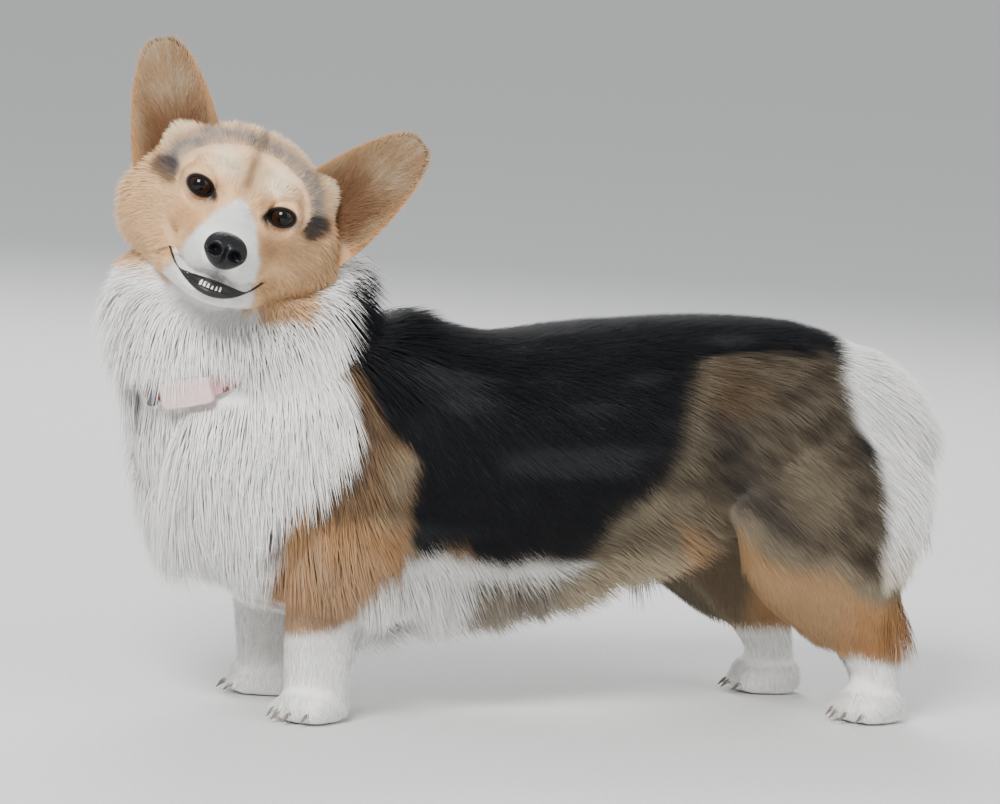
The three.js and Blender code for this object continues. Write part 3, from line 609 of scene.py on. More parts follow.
def body_colour(p):
    """The markings of trunk, neck and legs as soft edges seen from the side, broken up by noise,
    with painted shade on the far hind leg.
    """
    wob = wave_noise(p, 24, 1) * 4 + wave_noise(p, 8, 2) * 4
    x, y, z = (p + wob[:, None] * [0.7, 0, 0.7]).T
    side = np.abs(y)
    c = np.broadcast_to(WHITE, p.shape).copy()
    tongue = past_line(z, TONGUE_EDGE, x)
    behind_ruff = past_line(x, RUFF_EDGE, z) * tongue
    behind_wedge = past_line(x, WEDGE_EDGE, z) * (1 - tongue)
    behind = np.clip(behind_ruff + behind_wedge, 0, 1) * past(z, 112, 8)
    behind_shoulder = past_line(x, SHOULDER_EDGE, z, 6)

    # The shoulder: brown and tan grizzle, darker beside the white wedge and lighter behind it.
    grizzle = agouti(p, TAN * 0.66, BROWN * 0.8, 3)
    from_wedge = x - np.interp(z, *WEDGE_EDGE)
    grizzle = mix(grizzle, BROWN * 0.7, smoothstep(16, 4, from_wedge) * smoothstep(205, 170, z) * 0.75)
    grizzle = mix(grizzle, CREAM * 0.6, patch(x, z, (-122, 172), 24) * 0.5)
    grizzle = mix(grizzle, CREAM * 0.5, patch(x, z, (-124, 126), 30, 1.3) * 0.8)
    grizzle = mix(grizzle, BLACK, tongue * smoothstep(222, 236, z) * 0.9)
    c = mix(c, grizzle, behind * smoothstep(24, 44, side))
    c = mix(c, BLACK, behind * (1 - smoothstep(24, 44, side)) * past(z, 200, 20))

    # The saddle, with a bluish sheen where the hair turns.
    black = mix(BLACK, BLUE * 0.4, smoothstep(0.1, 0.9, wave_noise(p * [0.35, 1, 1], 7, 7)) * 0.3)
    above = past_line(z, SADDLE_EDGE, x, 5)
    ahead = 1 - past_line(x, SADDLE_BACK, z, 9)
    c = mix(c, black, behind_shoulder * above * behind)

    # The haunch: grey grizzle with cream tips, a dark diagonal and a warm patch at its upper front.
    haunch = agouti(p, CREAM * 0.25, BROWN * 0.4, 5)
    across = (x - 147) * 0.79 + (z - 155) * 0.61
    dark = np.exp(-((across / 15) ** 2)) * within(x, 90, 120, 185, 205)
    haunch = mix(haunch, BLACK * 3, dark * 0.5)
    haunch = mix(haunch, CREAM * 0.5, patch(x, z, (184, 162), 32, 1.1, 1.3) * 0.4)
    haunch = mix(haunch, CREAM * 0.5, smoothstep(70, 50, x - 0.5 * (z - 140)) * 0.35)
    haunch = mix(haunch, CREAM, smoothstep(26, 6, z - np.interp(x, *THIGH_TOP)) * 0.3)
    warm = agouti(p, TAN * 0.34, BROWN * 0.7, 15)
    haunch = mix(haunch, warm, patch(x, z, (125, 234), 30, 1.25) * 0.8)
    beside_rump = within(x, 208, 222, 226, 242) * past(z, 186, 8)
    haunch = mix(haunch, BLACK * 1.6, beside_rump * 0.7)
    top = past_line(z, BACK_TOP, x, 7) * smoothstep(245, 215, x)
    haunch = mix(haunch, black, top)
    c = mix(c, haunch, (1 - ahead) * past(x, 36, 10))

    # The flank's cream, the thigh's tan and the white of the rump.
    flank = within(x, 30, 56, 100, 128) * smoothstep(162, 138, z)
    c = mix(c, CREAM * 0.3, flank * smoothstep(60, 30, np.abs(z - 126)))
    below = 1 - past_line(z, THIGH_TOP, x, 7)
    thigh = below * past_line(x, THIGH_FRONT, z, 3)
    tan = mix(TAN * 0.98, RUST * 1.5, smoothstep(90, 56, z) * smoothstep(225, 250, x) * 0.8)
    c = mix(c, mix(tan, ORANGE * 1.1, smoothstep(205, 235, x) * 0.7), thigh)
    edge = x - np.interp(z, *THIGH_FRONT)
    c = mix(c, CREAM * 1.3, np.exp(-(((edge - 1) / 5) ** 2)) * smoothstep(128, 112, z) * past(x, 96) * 0.9)
    # Painted shade: the far hind leg below the thigh's top is darkened to grey brown.
    far_leg = (y > 20) & (x > 100)
    c = mix(c, CREAM * 0.22, far_leg * below * smoothstep(215, 195, x) * 0.8)
    rump = past_line(x, RUMP_EDGE, z, 5) * past(z, 98, 7)
    c = mix(c, mix(WHITE, CREAM * 1.2, smoothstep(130, 105, z) * 0.7), rump)

    # The belly: white in front, then dark grizzle, then cream.
    fringe = 1 - past_line(z, BELLY_TOP, x, 6)
    dark_belly = agouti(p, CREAM * 0.6, BROWN, 8)
    belly = mix(WHITE, dark_belly, smoothstep(-55, -35, x) * 0.9)
    belly = mix(belly, CREAM * 0.8, smoothstep(24, 46, x))
    c = mix(c, belly, fringe * smoothstep(-150, -128, x) * (1 - smoothstep(100, 130, x)))

    # The sleeve of the near foreleg, and white paws.
    fore = (x < -112) & (x > -208) & (z < 140) & (side > 26)
    sleeve = past_line(z, SLEEVE_END, x, 5) * smoothstep(146, 126, z) * smoothstep(-206, -196, x)
    c = mix(c, agouti(p, ORANGE, TAN * 0.7, 17), sleeve * (fore & (y < 0)) * 0.95)
    c = mix(c, WHITE, smoothstep(52, 42, z) * (x > 150))
    c = mix(c, WHITE, smoothstep(60, 46, z) * (x < -60))
    return c


# The grey arch over the forehead: half width and height, half the band's width. Then the muzzle's
# white half width at six heights, and the dark patches at the ends of the arch.
ARCH = dict(wide=55, high=42, half=6.0)
BLAZE = ([-62, -50, -32, -20, -8, 2], [31, 29, 26, 21, 13, 3])
TEMPLE = dict(at=(55, 1), r=13)


def head_colour(p):
    """The markings of the face in the head's frame, seen from in front, with painted shade on the
    dog's left cheek and under its left eye.
    """
    q = to_head(p)
    wob = wave_noise(q, 9, 11) * 1.8 + wave_noise(q, 4, 12) * 1.2
    a, e, v = q.T
    side = np.abs(e) + wob * 0.6
    c = mix(FACE, FACE * 1.35, smoothstep(-0.5, 0.9, wave_noise(q * [0.4, 1, 1], 3, 14)) * 0.6)
    # Painted shade on the dog's left cheek, the side turned from the key lamp.
    c = mix(c, FACE * 0.72, smoothstep(34, 58, e) * smoothstep(6, -14, v) * 0.8)
    c = mix(c, CREAM * 1.3, smoothstep(-52, -84, a) * 0.7)
    arch = (np.hypot(e / ARCH["wide"], v / ARCH["high"]) - 1) * ARCH["high"] + wob
    c = mix(c, CREAM * 1.7, smoothstep(4, 12, arch) * smoothstep(6, 20, v) * 0.8)
    brow = patch(side, v, (18, 22), 15, 1.5)
    c = mix(c, CREAM * 1.7, brow * smoothstep(-60, -10, a) * 0.95)
    band = np.exp(-((arch / ARCH["half"]) ** 2)) * smoothstep(-8, 6, v) * smoothstep(-74, -60, a)
    grey = mix(BLUE * 1.1, CREAM, smoothstep(-0.5, 0.9, wave_noise(q, 2.6, 15)) * 0.55)
    c = mix(c, grey, band * 0.9)
    temple = patch(side, v, TEMPLE["at"], TEMPLE["r"]) * smoothstep(-66, -54, a)
    smudge = 1 + 0.4 * wave_noise(q * [1, 1, 0.6], 3, 16)
    c = mix(c, BLACK * 4, np.clip(temple * 2.4 * smudge, 0, 1) * np.where(e > 0, 0.9, 0.75))
    peak = np.exp(-((e / 3.4) ** 2)) * smoothstep(6, 14, v) * smoothstep(-80, -30, a)
    c = mix(c, BROWN * 1.5, peak * 0.6)
    c = mix(c, ORANGE * 1.7, patch(side, v, (31, -21), 18, 1.3) * smoothstep(-12, 6, a) * 0.6)
    # Painted shade under the dog's left eye, on the side turned from the key lamp.
    c = mix(c, BROWN * 3, patch(e, v, (30, -20), 15, 1.2) * smoothstep(-8, 6, a) * 0.4)
    c = mix(c, RUST * 1.7, patch(side, v, (17, 4), 8, 1, 1.4) * smoothstep(-4, 8, a) * 0.5)
    inside = 1 - past_line(side, BLAZE, v, 2.5)
    c = mix(c, WHITE, inside * smoothstep(-6, 6, a) * smoothstep(6, 0, v))
    chin = smoothstep(-50, -57, v + wob) * smoothstep(34, 26, side - 0.3 * np.minimum(a, 0))
    c = mix(c, WHITE, chin)
    jowl = smoothstep(-56, -74, v + wob) * smoothstep(-10, -40, a)
    c = mix(c, WHITE * 0.98, jowl * 0.9)
    y, z, _, edge = eye_spot(q)
    close = smoothstep(-8, 0, a)
    c = mix(c, BLUE * 1.1, smoothstep(1.75, 1.3, edge) * smoothstep(3, -4, z) * close * 0.6)
    c = mix(c, BLACK * 1.5, smoothstep(1.34, 1.12, edge) * close)
    c = mix(c, BLACK * 2, bump(np.hypot(y + 10, (z + 1.8) * 1.3), 5.5) * close * 0.9)
    c = mix(c, BLUE * 0.8, patch(e, v, (0, -45), 11, 1, 1.1) * smoothstep(50, 62, a) * 0.6)
    return c


def coat_colour(p):
    """Body and head markings, and the tan puffs of the ruff behind the cheeks, with painted shade on the
    puffs of the dog's left side.
    """
    a, e, v = to_head(p).T
    side = np.abs(e) + 3 * wave_noise(p, 10, 18)
    puff = within(side, 38, 48, 84, 94) * smoothstep(-100, -85, a)
    puff = puff * smoothstep(-82, -74, v + 2 * wave_noise(p, 8, 19)) * smoothstep(-6, -20, v)
    # Painted shade: the puffs grow darker towards the dog's left side.
    tan = mix(FACE, FACE * 0.8, smoothstep(20, 60, e))
    return mix(mix(body_colour(p), head_colour(p), head_share(p)), tan, puff * (a < 12))


# the lie of the coat
# How far below the level the hair points on the flank, in degrees, from the neck to the rump.
FALL = ([-175, -120, -60, 20, 80, 140, 200, 250], [66, 56, 40, 30, 34, 40, 46, 60])


def lie_at(p, n):
    """The way the hair lies at each place: back and down on the trunk, down on neck, chest and
    legs, and away from the nose on the head, with slow swirls and small clumps."""
    x, y, z = p.T
    side = np.sign(y) * smoothstep(10, 60, np.abs(y))
    fall = np.radians(np.interp(x, *FALL)) * smoothstep(0, 55, np.abs(y))
    trunk = np.stack([np.cos(fall), 0.10 * side, -np.sin(fall) - 0.04], -1)
    down = np.stack([np.full_like(x, 0.22), 0 * x, np.full_like(x, -1.0)], -1)
    front = np.stack([np.full_like(x, 0.08), 0.16 * side, np.full_like(x, -1.0)], -1)
    d = mix(trunk, down, smoothstep(125, 85, z))
    d = mix(d, front, smoothstep(-128, -180, x))
    under = smoothstep(112, 84, z) * within(x, -150, -120, 110, 150)
    d = mix(d, np.array([0.6, 0, -1.0]), under)
    swirl, clump = (
        np.stack([wave_noise(p, scale, seed + k) for k in range(3)], -1)
        for scale, seed in ((24, 21), (6.5, 24))
    )
    d = unit(d) + 0.16 * swirl + 0.13 * clump
    q = to_head(p)
    a, e, v = q.T
    # On the head it runs back from the nose, out over the cheeks, down the throat, round the eyes.
    from_nose = np.stack([0 * a - 1.0, 0.014 * e, 0.008 * (v + 22)], -1)
    cheek = np.stack([0 * a - 0.75, 0.45 * np.sign(e), 0 * a - 0.60], -1)
    outer = smoothstep(30, 50, np.abs(e)) * smoothstep(20, -12, v) * smoothstep(12, -14, a)
    h = mix(from_nose, cheek, outer)
    h = mix(h, np.array([-0.8, 0, -0.6]), smoothstep(-48, -60, v))
    y, z, far = eye_spot(q)[:3]
    round_eye = np.stack([0 * a - 0.4, y * np.sign(e) / 10, z / 10], -1)
    h = mix(unit(h), unit(round_eye), smoothstep(13, 9, far) * smoothstep(-8, 0, a))
    h = unit(h) + 0.06 * swirl + 0.10 * clump
    d = mix(d, h @ HEAD_ROT.T, head_share(p))
    return along_skin(d, n)


HAIR = dict(
    flank=22.0, nape=44, ruff=52, belly=52, groin=42, rump=36, leg=12, breeches=32, foreleg=11, feather=20,
    paw=8.0, face=8.0, crown=13, cheek=14, puff=30, back_of_head=24, muzzle=4.2, nose_side=2.6, lids=3.0,
)
# The back edge of the hind leg, as heights and the x there.
LEG_BACK = ([20, 45, 66, 92, 125], [262, 258, 256, 262, 268])


def coat_size(p):
    """Length of the hair in millimetres at each place: the lengths in HAIR, one region after the
    other, each fading into the last."""
    x, y, z = p.T
    side = np.abs(y)
    long = np.full(len(p), HAIR["flank"])
    long = mix1(long, HAIR["nape"], smoothstep(-92, -125, x) * smoothstep(225, 255, z))
    long = mix1(long, HAIR["ruff"], smoothstep(-125, -175, x) * smoothstep(95, 130, z))
    belly = smoothstep(118, 92, z) * smoothstep(-190, -160, x) * smoothstep(175, 110, x) * (side < 90)
    long = mix1(long, HAIR["belly"], belly)
    long = mix1(long, HAIR["groin"], within(x, 30, 60, 105, 125) * smoothstep(168, 140, z))
    long = mix1(long, HAIR["rump"], smoothstep(222, 250, x) * smoothstep(110, 140, z))
    hind = (x > 128) & (z < 118)
    behind = smoothstep(-16, 8, x - np.interp(z, *LEG_BACK)) * smoothstep(50, 84, z)
    long = np.where(hind, HAIR["leg"] + HAIR["breeches"] * behind, long)
    fore = (x < -96) & (x > -225) & (z < 112) & (side > 18)
    under = smoothstep(112, 84, z)
    feather = HAIR["foreleg"] + HAIR["feather"] * smoothstep(-150, -130, x) * smoothstep(36, 70, z)
    long = np.where(fore, mix1(long, feather, under), long)
    long = mix1(long, HAIR["paw"], smoothstep(44, 26, z))
    a, e, v = to_head(p).T
    side = np.abs(e)
    face = HAIR["face"] + 0 * a
    face = mix1(face, HAIR["crown"], smoothstep(0, -50, a) * smoothstep(0, 30, v))
    cheeks = smoothstep(12, -8, a) * smoothstep(24, 38, side) * smoothstep(14, -8, v)
    face = mix1(face, HAIR["cheek"], cheeks)
    puff = smoothstep(0, -32, a) * smoothstep(38, 58, side) * smoothstep(16, -14, v)
    face = mix1(face, HAIR["puff"], puff)
    face = mix1(face, HAIR["puff"], smoothstep(-6, -30, a) * smoothstep(-46, -60, v))
    face = mix1(face, HAIR["back_of_head"], smoothstep(-60, -84, a))
    face = mix1(face, HAIR["muzzle"], smoothstep(14, 40, a))
    face = mix1(face, HAIR["nose_side"], smoothstep(54, 62, a))
    far = eye_spot(to_head(p))[2]
    face = mix1(face, HAIR["lids"], smoothstep(18, 11, far) * smoothstep(-8, 0, a))
    return mix1(long, face, head_share(p))


# tufts
def sample_roots(obj, weight, count):
    """Random places on a mesh, as many as count, thicker where weight(p) is larger. Returns place,
    normal and the place's spot on the unwrap."""
    mesh = obj.data
    mesh.calc_loop_triangles()
    m = len(mesh.loop_triangles)
    tri = np.empty(m * 3, np.int32)
    mesh.loop_triangles.foreach_get("vertices", tri)
    loops = np.empty(m * 3, np.int32)
    mesh.loop_triangles.foreach_get("loops", loops)
    uv = np.empty(len(mesh.loops) * 2)
    mesh.uv_layers["OFBake"].data.foreach_get("uv", uv)
    corner_uv = uv.reshape(-1, 2)[loops.reshape(-1, 3)]
    p = get_points(mesh)
    n = get_normals(mesh)
    t = tri.reshape(-1, 3)
    area = np.linalg.norm(np.cross(p[t[:, 1]] - p[t[:, 0]], p[t[:, 2]] - p[t[:, 0]]), axis=1)
    w = area * weight(p[t].mean(1), unit(n[t].mean(1)))
    edges = np.cumsum(w)
    pick = np.searchsorted(edges, (np.arange(count) + rng.random(count)) / count * edges[-1])
    pick = np.minimum(pick, m - 1)
    r = rng.random((count, 2))
    r = np.where(r.sum(1, keepdims=True) > 1, 1 - r, r)
    bary = np.stack([1 - r.sum(1), r[:, 0], r[:, 1]], -1)
    place = np.einsum("ij,ijk->ik", bary, p[t[pick]])
    normal = unit(np.einsum("ij,ijk->ik", bary, n[t[pick]]))
    spot = np.einsum("ij,ijk->ik", bary, corner_uv[pick])
    return place, normal, spot


# A tuft: how deep its root is sunk, its section across and outward, how its width fades and swells
# along it, its tone at root and point (darker at the root as painted shade, brighter at the point as
# painted light), most triangles in a piece, and its patch on the unwrap.
TUFT = dict(
    sunk=0.8, thick=(-0.28, 0.5), fade=1.6, root=0.75, swell=0.6, tone=(0.88, 0.24), tip=1.14,
    most=190000, patch=0.0015,
)


def tuft_faces(rings):
    """Triangles of one closed three-sided blade: its root, its sides and its point."""
    faces = [[2, 1, 0]]
    for i in range(rings - 1):
        for k in range(3):
            m = (k + 1) % 3
            a, b, c, d = i * 3 + k, i * 3 + m, i * 3 + 3 + m, i * 3 + 3 + k
            faces += [[a, b, c], [a, c, d]]
    last = (rings - 1) * 3
    faces += [[last + k, last + (k + 1) % 3, last + 3] for k in range(3)]
    return np.array(faces, np.int32)


def tuft_mesh(name, root, normal, lie, long, wide, lean, drop, colour, spot, rings, look, soft):
    """Closed three-sided tapered blades. The middle of a blade at t is root + long * (t * (cos(lean)
    * lie + sin(lean) * normal) - drop * t squared * normal). Its width is (1 - t to the power
    fade) * (root + swell * t) of the full one. Its shading is part the skin's normal and part its own."""
    count = len(root)
    across = unit(np.cross(lie, normal))
    t = np.linspace(0, 1, rings + 1)[:-1]
    ahead = np.cos(lean)[:, None] * lie + np.sin(lean)[:, None] * normal
    sag = (drop[:, None] * t ** 2)[..., None] * normal[:, None]
    centre = root[:, None] + long[:, None, None] * (t[None, :, None] * ahead[:, None] - sag)
    centre = centre - TUFT["sunk"] * normal[:, None]
    tip = root + long[:, None] * (ahead - drop[:, None] * normal)
    taper = (1 - t ** TUFT["fade"]) * (TUFT["root"] + TUFT["swell"] * t)
    half = wide[:, None] * taper[None] / 2
    corner = np.array([[1.0, TUFT["thick"][0]], [0.0, TUFT["thick"][1]], [-1.0, TUFT["thick"][0]]])
    out = corner[None, :, 0, None] * across[:, None] + corner[None, :, 1, None] * normal[:, None]
    ring = centre[:, :, None] + half[..., None, None] * out[:, None]
    verts = np.concatenate([ring.reshape(count, -1, 3), tip[:, None]], 1)
    shade = unit(soft * normal[:, None] + (1 - soft) * unit(out))
    shade = np.concatenate([np.tile(shade, (1, rings, 1)), normal[:, None]], 1)
    per = rings * 3 + 1
    faces = tuft_faces(rings)
    if turned_in(verts[0][faces] - verts[0].mean(0)):
        faces = faces[:, ::-1]
    tris = (faces[None] + (np.arange(count) * per)[:, None, None]).reshape(-1, 3).astype(np.int32)
    most = TUFT["most"] // len(faces)
    patch = np.concatenate([np.tile(corner * TUFT["patch"], (rings, 1)), [[0, 0]]])
    # Painted shade and light: the tone rises from dark at the root to bright at the point.
    low, more = TUFT["tone"]
    tone = np.concatenate([np.repeat(low + more * t, 3), [TUFT["tip"]]])
    for start in range(0, count, most):
        stop = min(start + most, count)
        v = to_row(verts[start:stop].reshape(-1, 3))
        f = tris[: (stop - start) * len(faces)]
        mesh = bpy.data.meshes.new(f"{name}_{start // most}")
        mesh.vertices.add(len(v))
        mesh.vertices.foreach_set("co", v.ravel())
        mesh.loops.add(len(f) * 3)
        mesh.loops.foreach_set("vertex_index", f.ravel())
        mesh.polygons.add(len(f))
        mesh.polygons.foreach_set("loop_start", np.arange(0, len(f) * 3, 3, dtype=np.int32))
        mesh.polygons.foreach_set("loop_total", np.full(len(f), 3, np.int32))
        mesh.update()
        layer = mesh.uv_layers.new(name="OFBake")
        uv = (spot[start:stop, None] + patch[None]).reshape(-1, 2)[f.ravel()]
        layer.data.foreach_set("uv", uv.ravel())
        paint(mesh, (colour[start:stop, None] * tone[None, :, None]).reshape(-1, 3))
        mesh.normals_split_custom_set_from_vertices(shade[start:stop].reshape(-1, 3))
        mesh.materials.append(look)
        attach(placed(mesh.name, mesh), "root")


def paint(mesh, colour):
    """Stores a colour for each vertex in the coat attribute."""
    attr = mesh.color_attributes.new("coat", "FLOAT_COLOR", "POINT")
    rgba = np.concatenate([np.clip(colour, 0, 1), np.ones((len(colour), 1))], -1)
    attr.data.foreach_set("color", rgba.ravel())


# materials
GRAIN = dict(tones=(0.84, 1.14), scale=350, rise=0.001)
WEAVE = dict(speck_scale=150, soft=(0.30, 0.44))


def material(name, colour=None, attribute=None, rough=0.6, relief=None, height=0.2, **extra):
    """A Principled material. Its colour is read from an attribute, or varies a little round a
    fixed one with noise on Object coordinates. relief is the pattern and scale of its bumps."""
    mat = bpy.data.materials.new(name)
    mat.use_nodes = True
    nodes, links = mat.node_tree.nodes, mat.node_tree.links
    shader = nodes["Principled BSDF"]
    shader.inputs["Roughness"].default_value = rough
    for key, value in extra.items():
        shader.inputs[key.replace("_", " ")].default_value = value
    place = nodes.new("ShaderNodeTexCoord")
    if attribute:
        read = nodes.new("ShaderNodeAttribute")
        read.attribute_name = attribute
        links.new(read.outputs["Color"], shader.inputs["Base Color"])
    else:
        noise = nodes.new("ShaderNodeTexNoise")
        noise.inputs["Scale"].default_value = GRAIN["scale"]
        links.new(place.outputs["Object"], noise.inputs["Vector"])
        two = [(*[min(c * k, 1) for c in colour], 1) for k in GRAIN["tones"]]
        links.new(blend(nodes, links, noise.outputs["Fac"], *two), shader.inputs["Base Color"])
    if relief:
        kind, scale = relief
        grain = nodes.new(f"ShaderNodeTex{kind}")
        grain.inputs["Scale"].default_value = scale
        raised = nodes.new("ShaderNodeBump")
        raised.inputs["Strength"].default_value = height
        raised.inputs["Distance"].default_value = GRAIN["rise"]
        links.new(place.outputs["Object"], grain.inputs["Vector"])
        links.new(grain.outputs[0], raised.inputs["Height"])
        links.new(raised.outputs["Normal"], shader.inputs["Normal"])
    return mat


def blend(nodes, links, factor, low, high):
    """A mix of two colours; high may be the output of another node."""
    two = nodes.new("ShaderNodeMix")
    two.data_type = "RGBA"
    links.new(factor, two.inputs["Factor"])
    two.inputs["A"].default_value = low
    if isinstance(high, tuple):
        two.inputs["B"].default_value = high
    else:
        links.new(high, two.inputs["B"])
    return two.outputs["Result"]


def woven(name, ground, speck):
    """A woven band: fine crossed threads as relief, and soft specks of a second colour."""
    mat = material(name, ground, rough=0.75, relief=("Wave", 520), height=0.35)
    nodes, links = mat.node_tree.nodes, mat.node_tree.links
    shader = nodes["Principled BSDF"]
    place = nodes.new("ShaderNodeTexCoord")
    spots = nodes.new("ShaderNodeTexVoronoi")
    spots.inputs["Scale"].default_value = WEAVE["speck_scale"]
    links.new(place.outputs["Object"], spots.inputs["Vector"])
    edge = nodes.new("ShaderNodeMapRange")
    edge.inputs["From Min"].default_value, edge.inputs["From Max"].default_value = WEAVE["soft"]
    links.new(spots.outputs["Distance"], edge.inputs["Value"])
    under = shader.inputs["Base Color"].links[0].from_socket
    links.new(blend(nodes, links, edge.outputs["Result"], speck, under), shader.inputs["Base Color"])
    return mat


def unwrap(obj):
    """An unwrap of the piece's own shape, named OFBake."""
    bpy.ops.object.select_all(action="DESELECT")
    bpy.context.view_layer.objects.active = obj
    obj.select_set(True)
    layer = obj.data.uv_layers.new(name="OFBake")
    obj.data.uv_layers.active = layer
    bpy.ops.object.mode_set(mode="EDIT")
    bpy.ops.mesh.select_all(action="SELECT")
    bpy.ops.uv.smart_project(angle_limit=math.radians(66), island_margin=0.002)
    bpy.ops.object.mode_set(mode="OBJECT")
    obj.select_set(False)


skin_look = material("skin", attribute="coat", rough=0.7, relief=("Noise", 900), height=0.5)
hair_look = material("hair", attribute="coat", rough=0.55, Specular_IOR_Level=0.16)
sleek_look = material("sleek hair", attribute="coat", rough=0.6, Specular_IOR_Level=0.14)
eye_look = material(
    "eye", attribute="coat", rough=0.4, Specular_IOR_Level=0.0, Coat_Weight=0.5, Coat_Roughness=0.02,
)
nose_look = material(
    "nose", (0.004, 0.004, 0.005), rough=0.42, relief=("Voronoi", 620), height=0.25, Specular_IOR_Level=0.3
)
lip_look = material("lip", (0.006, 0.0045, 0.0045), rough=0.5, relief=("Noise", 500), height=0.3)
lid_look = material("lid", (0.007, 0.005, 0.005), rough=0.75, relief=("Noise", 500), Specular_IOR_Level=0.2)
tooth_look = material("tooth", (0.78, 0.74, 0.64), rough=0.25)
claw_look = material("claw", (0.16, 0.12, 0.10), rough=0.35)
band_look = woven("collar band", (0.60, 0.34, 0.33), (0.20, 0.055, 0.05, 1))
buckle_look = material("buckle", (0.72, 0.50, 0.50), rough=0.35)
metal_look = material("slide", (0.12, 0.12, 0.14), rough=0.35, Metallic=0.8)
floor_look = material("floor", (0.70, 0.70, 0.69), rough=0.9)


# Ears: cupped leaves from the side of the skull to the tip
EAR_POWER, EAR_NARROW = 2.6, 0.25
# An ear's first h and its range, half its thickness at the root and how much thinner its tip is,
# how much flatter the cup gets, and the fold: how high, where across, and half its width.
EAR_FORM = dict(first=-0.22, range=1.2, thick=2.8, thinner=1.6, flatter=0.6, fold=1.6, at=0.25, wide=0.12)
# The ear's tufts: how they rise and bend, their length on the back, in the cup and at the rim, the
# least, how unevenly long and toned they are, and their width as in the coat.
EAR_HAIR = dict(
    lean=0.26, drop=0.10, back=5.5, cup=14, shorter=6, rim=4.5, least=2.2, stray=0.10,
    length=(0.8, 1.2), tone=(0.78, 1.2), wide=(0.5, 0.035), soft=0.55,
)


def ear_ends(hand):
    """The root and the tip of an ear in the head's frame."""
    return [np.array([a, hand * e + EAR_SWAY, v], float) for a, e, v in (EAR_ROOT, EAR_TIP)]


def ear_leaf(h, half, end, least):
    """The half width at h: half * sqrt(1 - (h / end) to the power) * (1 - narrow * h)."""
    return half * np.sqrt(np.maximum(1 - (h / end) ** EAR_POWER, least)) * (1 - EAR_NARROW * h)


def ear_grid(hand, inset=0.6, around=56, along=64):
    """A leaf bent into a cup. Its thickness falls from 5.6 at the root to 2.4 at the tip, and to
    nothing at the rim. h runs from the root to the tip."""
    root, tip = ear_ends(hand)
    spine = tip - root
    across = unit(np.cross(np.cross([0.0, hand, 0.0], spine), spine))
    out = unit(np.cross(spine, across))
    if out[0] < 0:
        out = -out
    v = np.linspace(0, 1, along)
    h = (EAR_FORM["first"] + EAR_FORM["range"] * v)[:, None]
    u = np.linspace(0, TURN, around, endpoint=False)[None]
    hp = np.maximum(h, 0)
    leaf = ear_leaf(hp, EAR_HALF - inset, 0.995, 0.0004)
    w = np.cos(u) * leaf
    thick = EAR_FORM["thick"] - EAR_FORM["thinner"] * hp
    skin = np.sin(u) * (thick * np.sqrt(np.maximum(1 - v[:, None] ** 10, 0.01)))
    bowl = -EAR_CUP * (1 - (w / EAR_HALF) ** 2) * (1 - EAR_FORM["flatter"] * v[:, None])
    fold = EAR_FORM["fold"] * np.exp(-(((w / EAR_HALF) - EAR_FORM["at"]) / EAR_FORM["wide"]) ** 2)
    fold = fold * (np.sin(u) > 0) * smoothstep(0.6, 0.1, hp)
    flat = root + h[..., None] * spine + w[..., None] * across
    return from_head(flat + (bowl + skin + fold)[..., None] * out), out


def ear_colour(place, inner, rim, height):
    """Orange tan on the back and the rim, tan with cream streaks in the cup, and painted shade of rust
    brown in the hollow at its root. inner is 1 in the cup, rim 1 at the edge, height 0 at the root
    and 1 at the tip."""
    c = np.broadcast_to(FACE * 0.6, place.shape).copy()
    streak = wave_noise(place * [1, 0.25, 0], 1.7, 31) * 0.6 + 0.4 * wave_noise(place, 8, 32)
    cup = mix(FACE * 0.38, CREAM * 0.8, smoothstep(-0.4, 1.0, streak) * 0.65)
    # Painted shade: rust brown darkens the hollow of the cup near its root.
    cup = mix(cup, RUST * 0.75, smoothstep(0.55, 0.16, height) * smoothstep(0.85, 0.3, rim) * 0.9)
    c = mix(c, cup, inner * smoothstep(0.95, 0.7, rim))
    return mix(c, ORANGE * 1.35, inner * smoothstep(0.66, 0.86, rim) * 0.7)


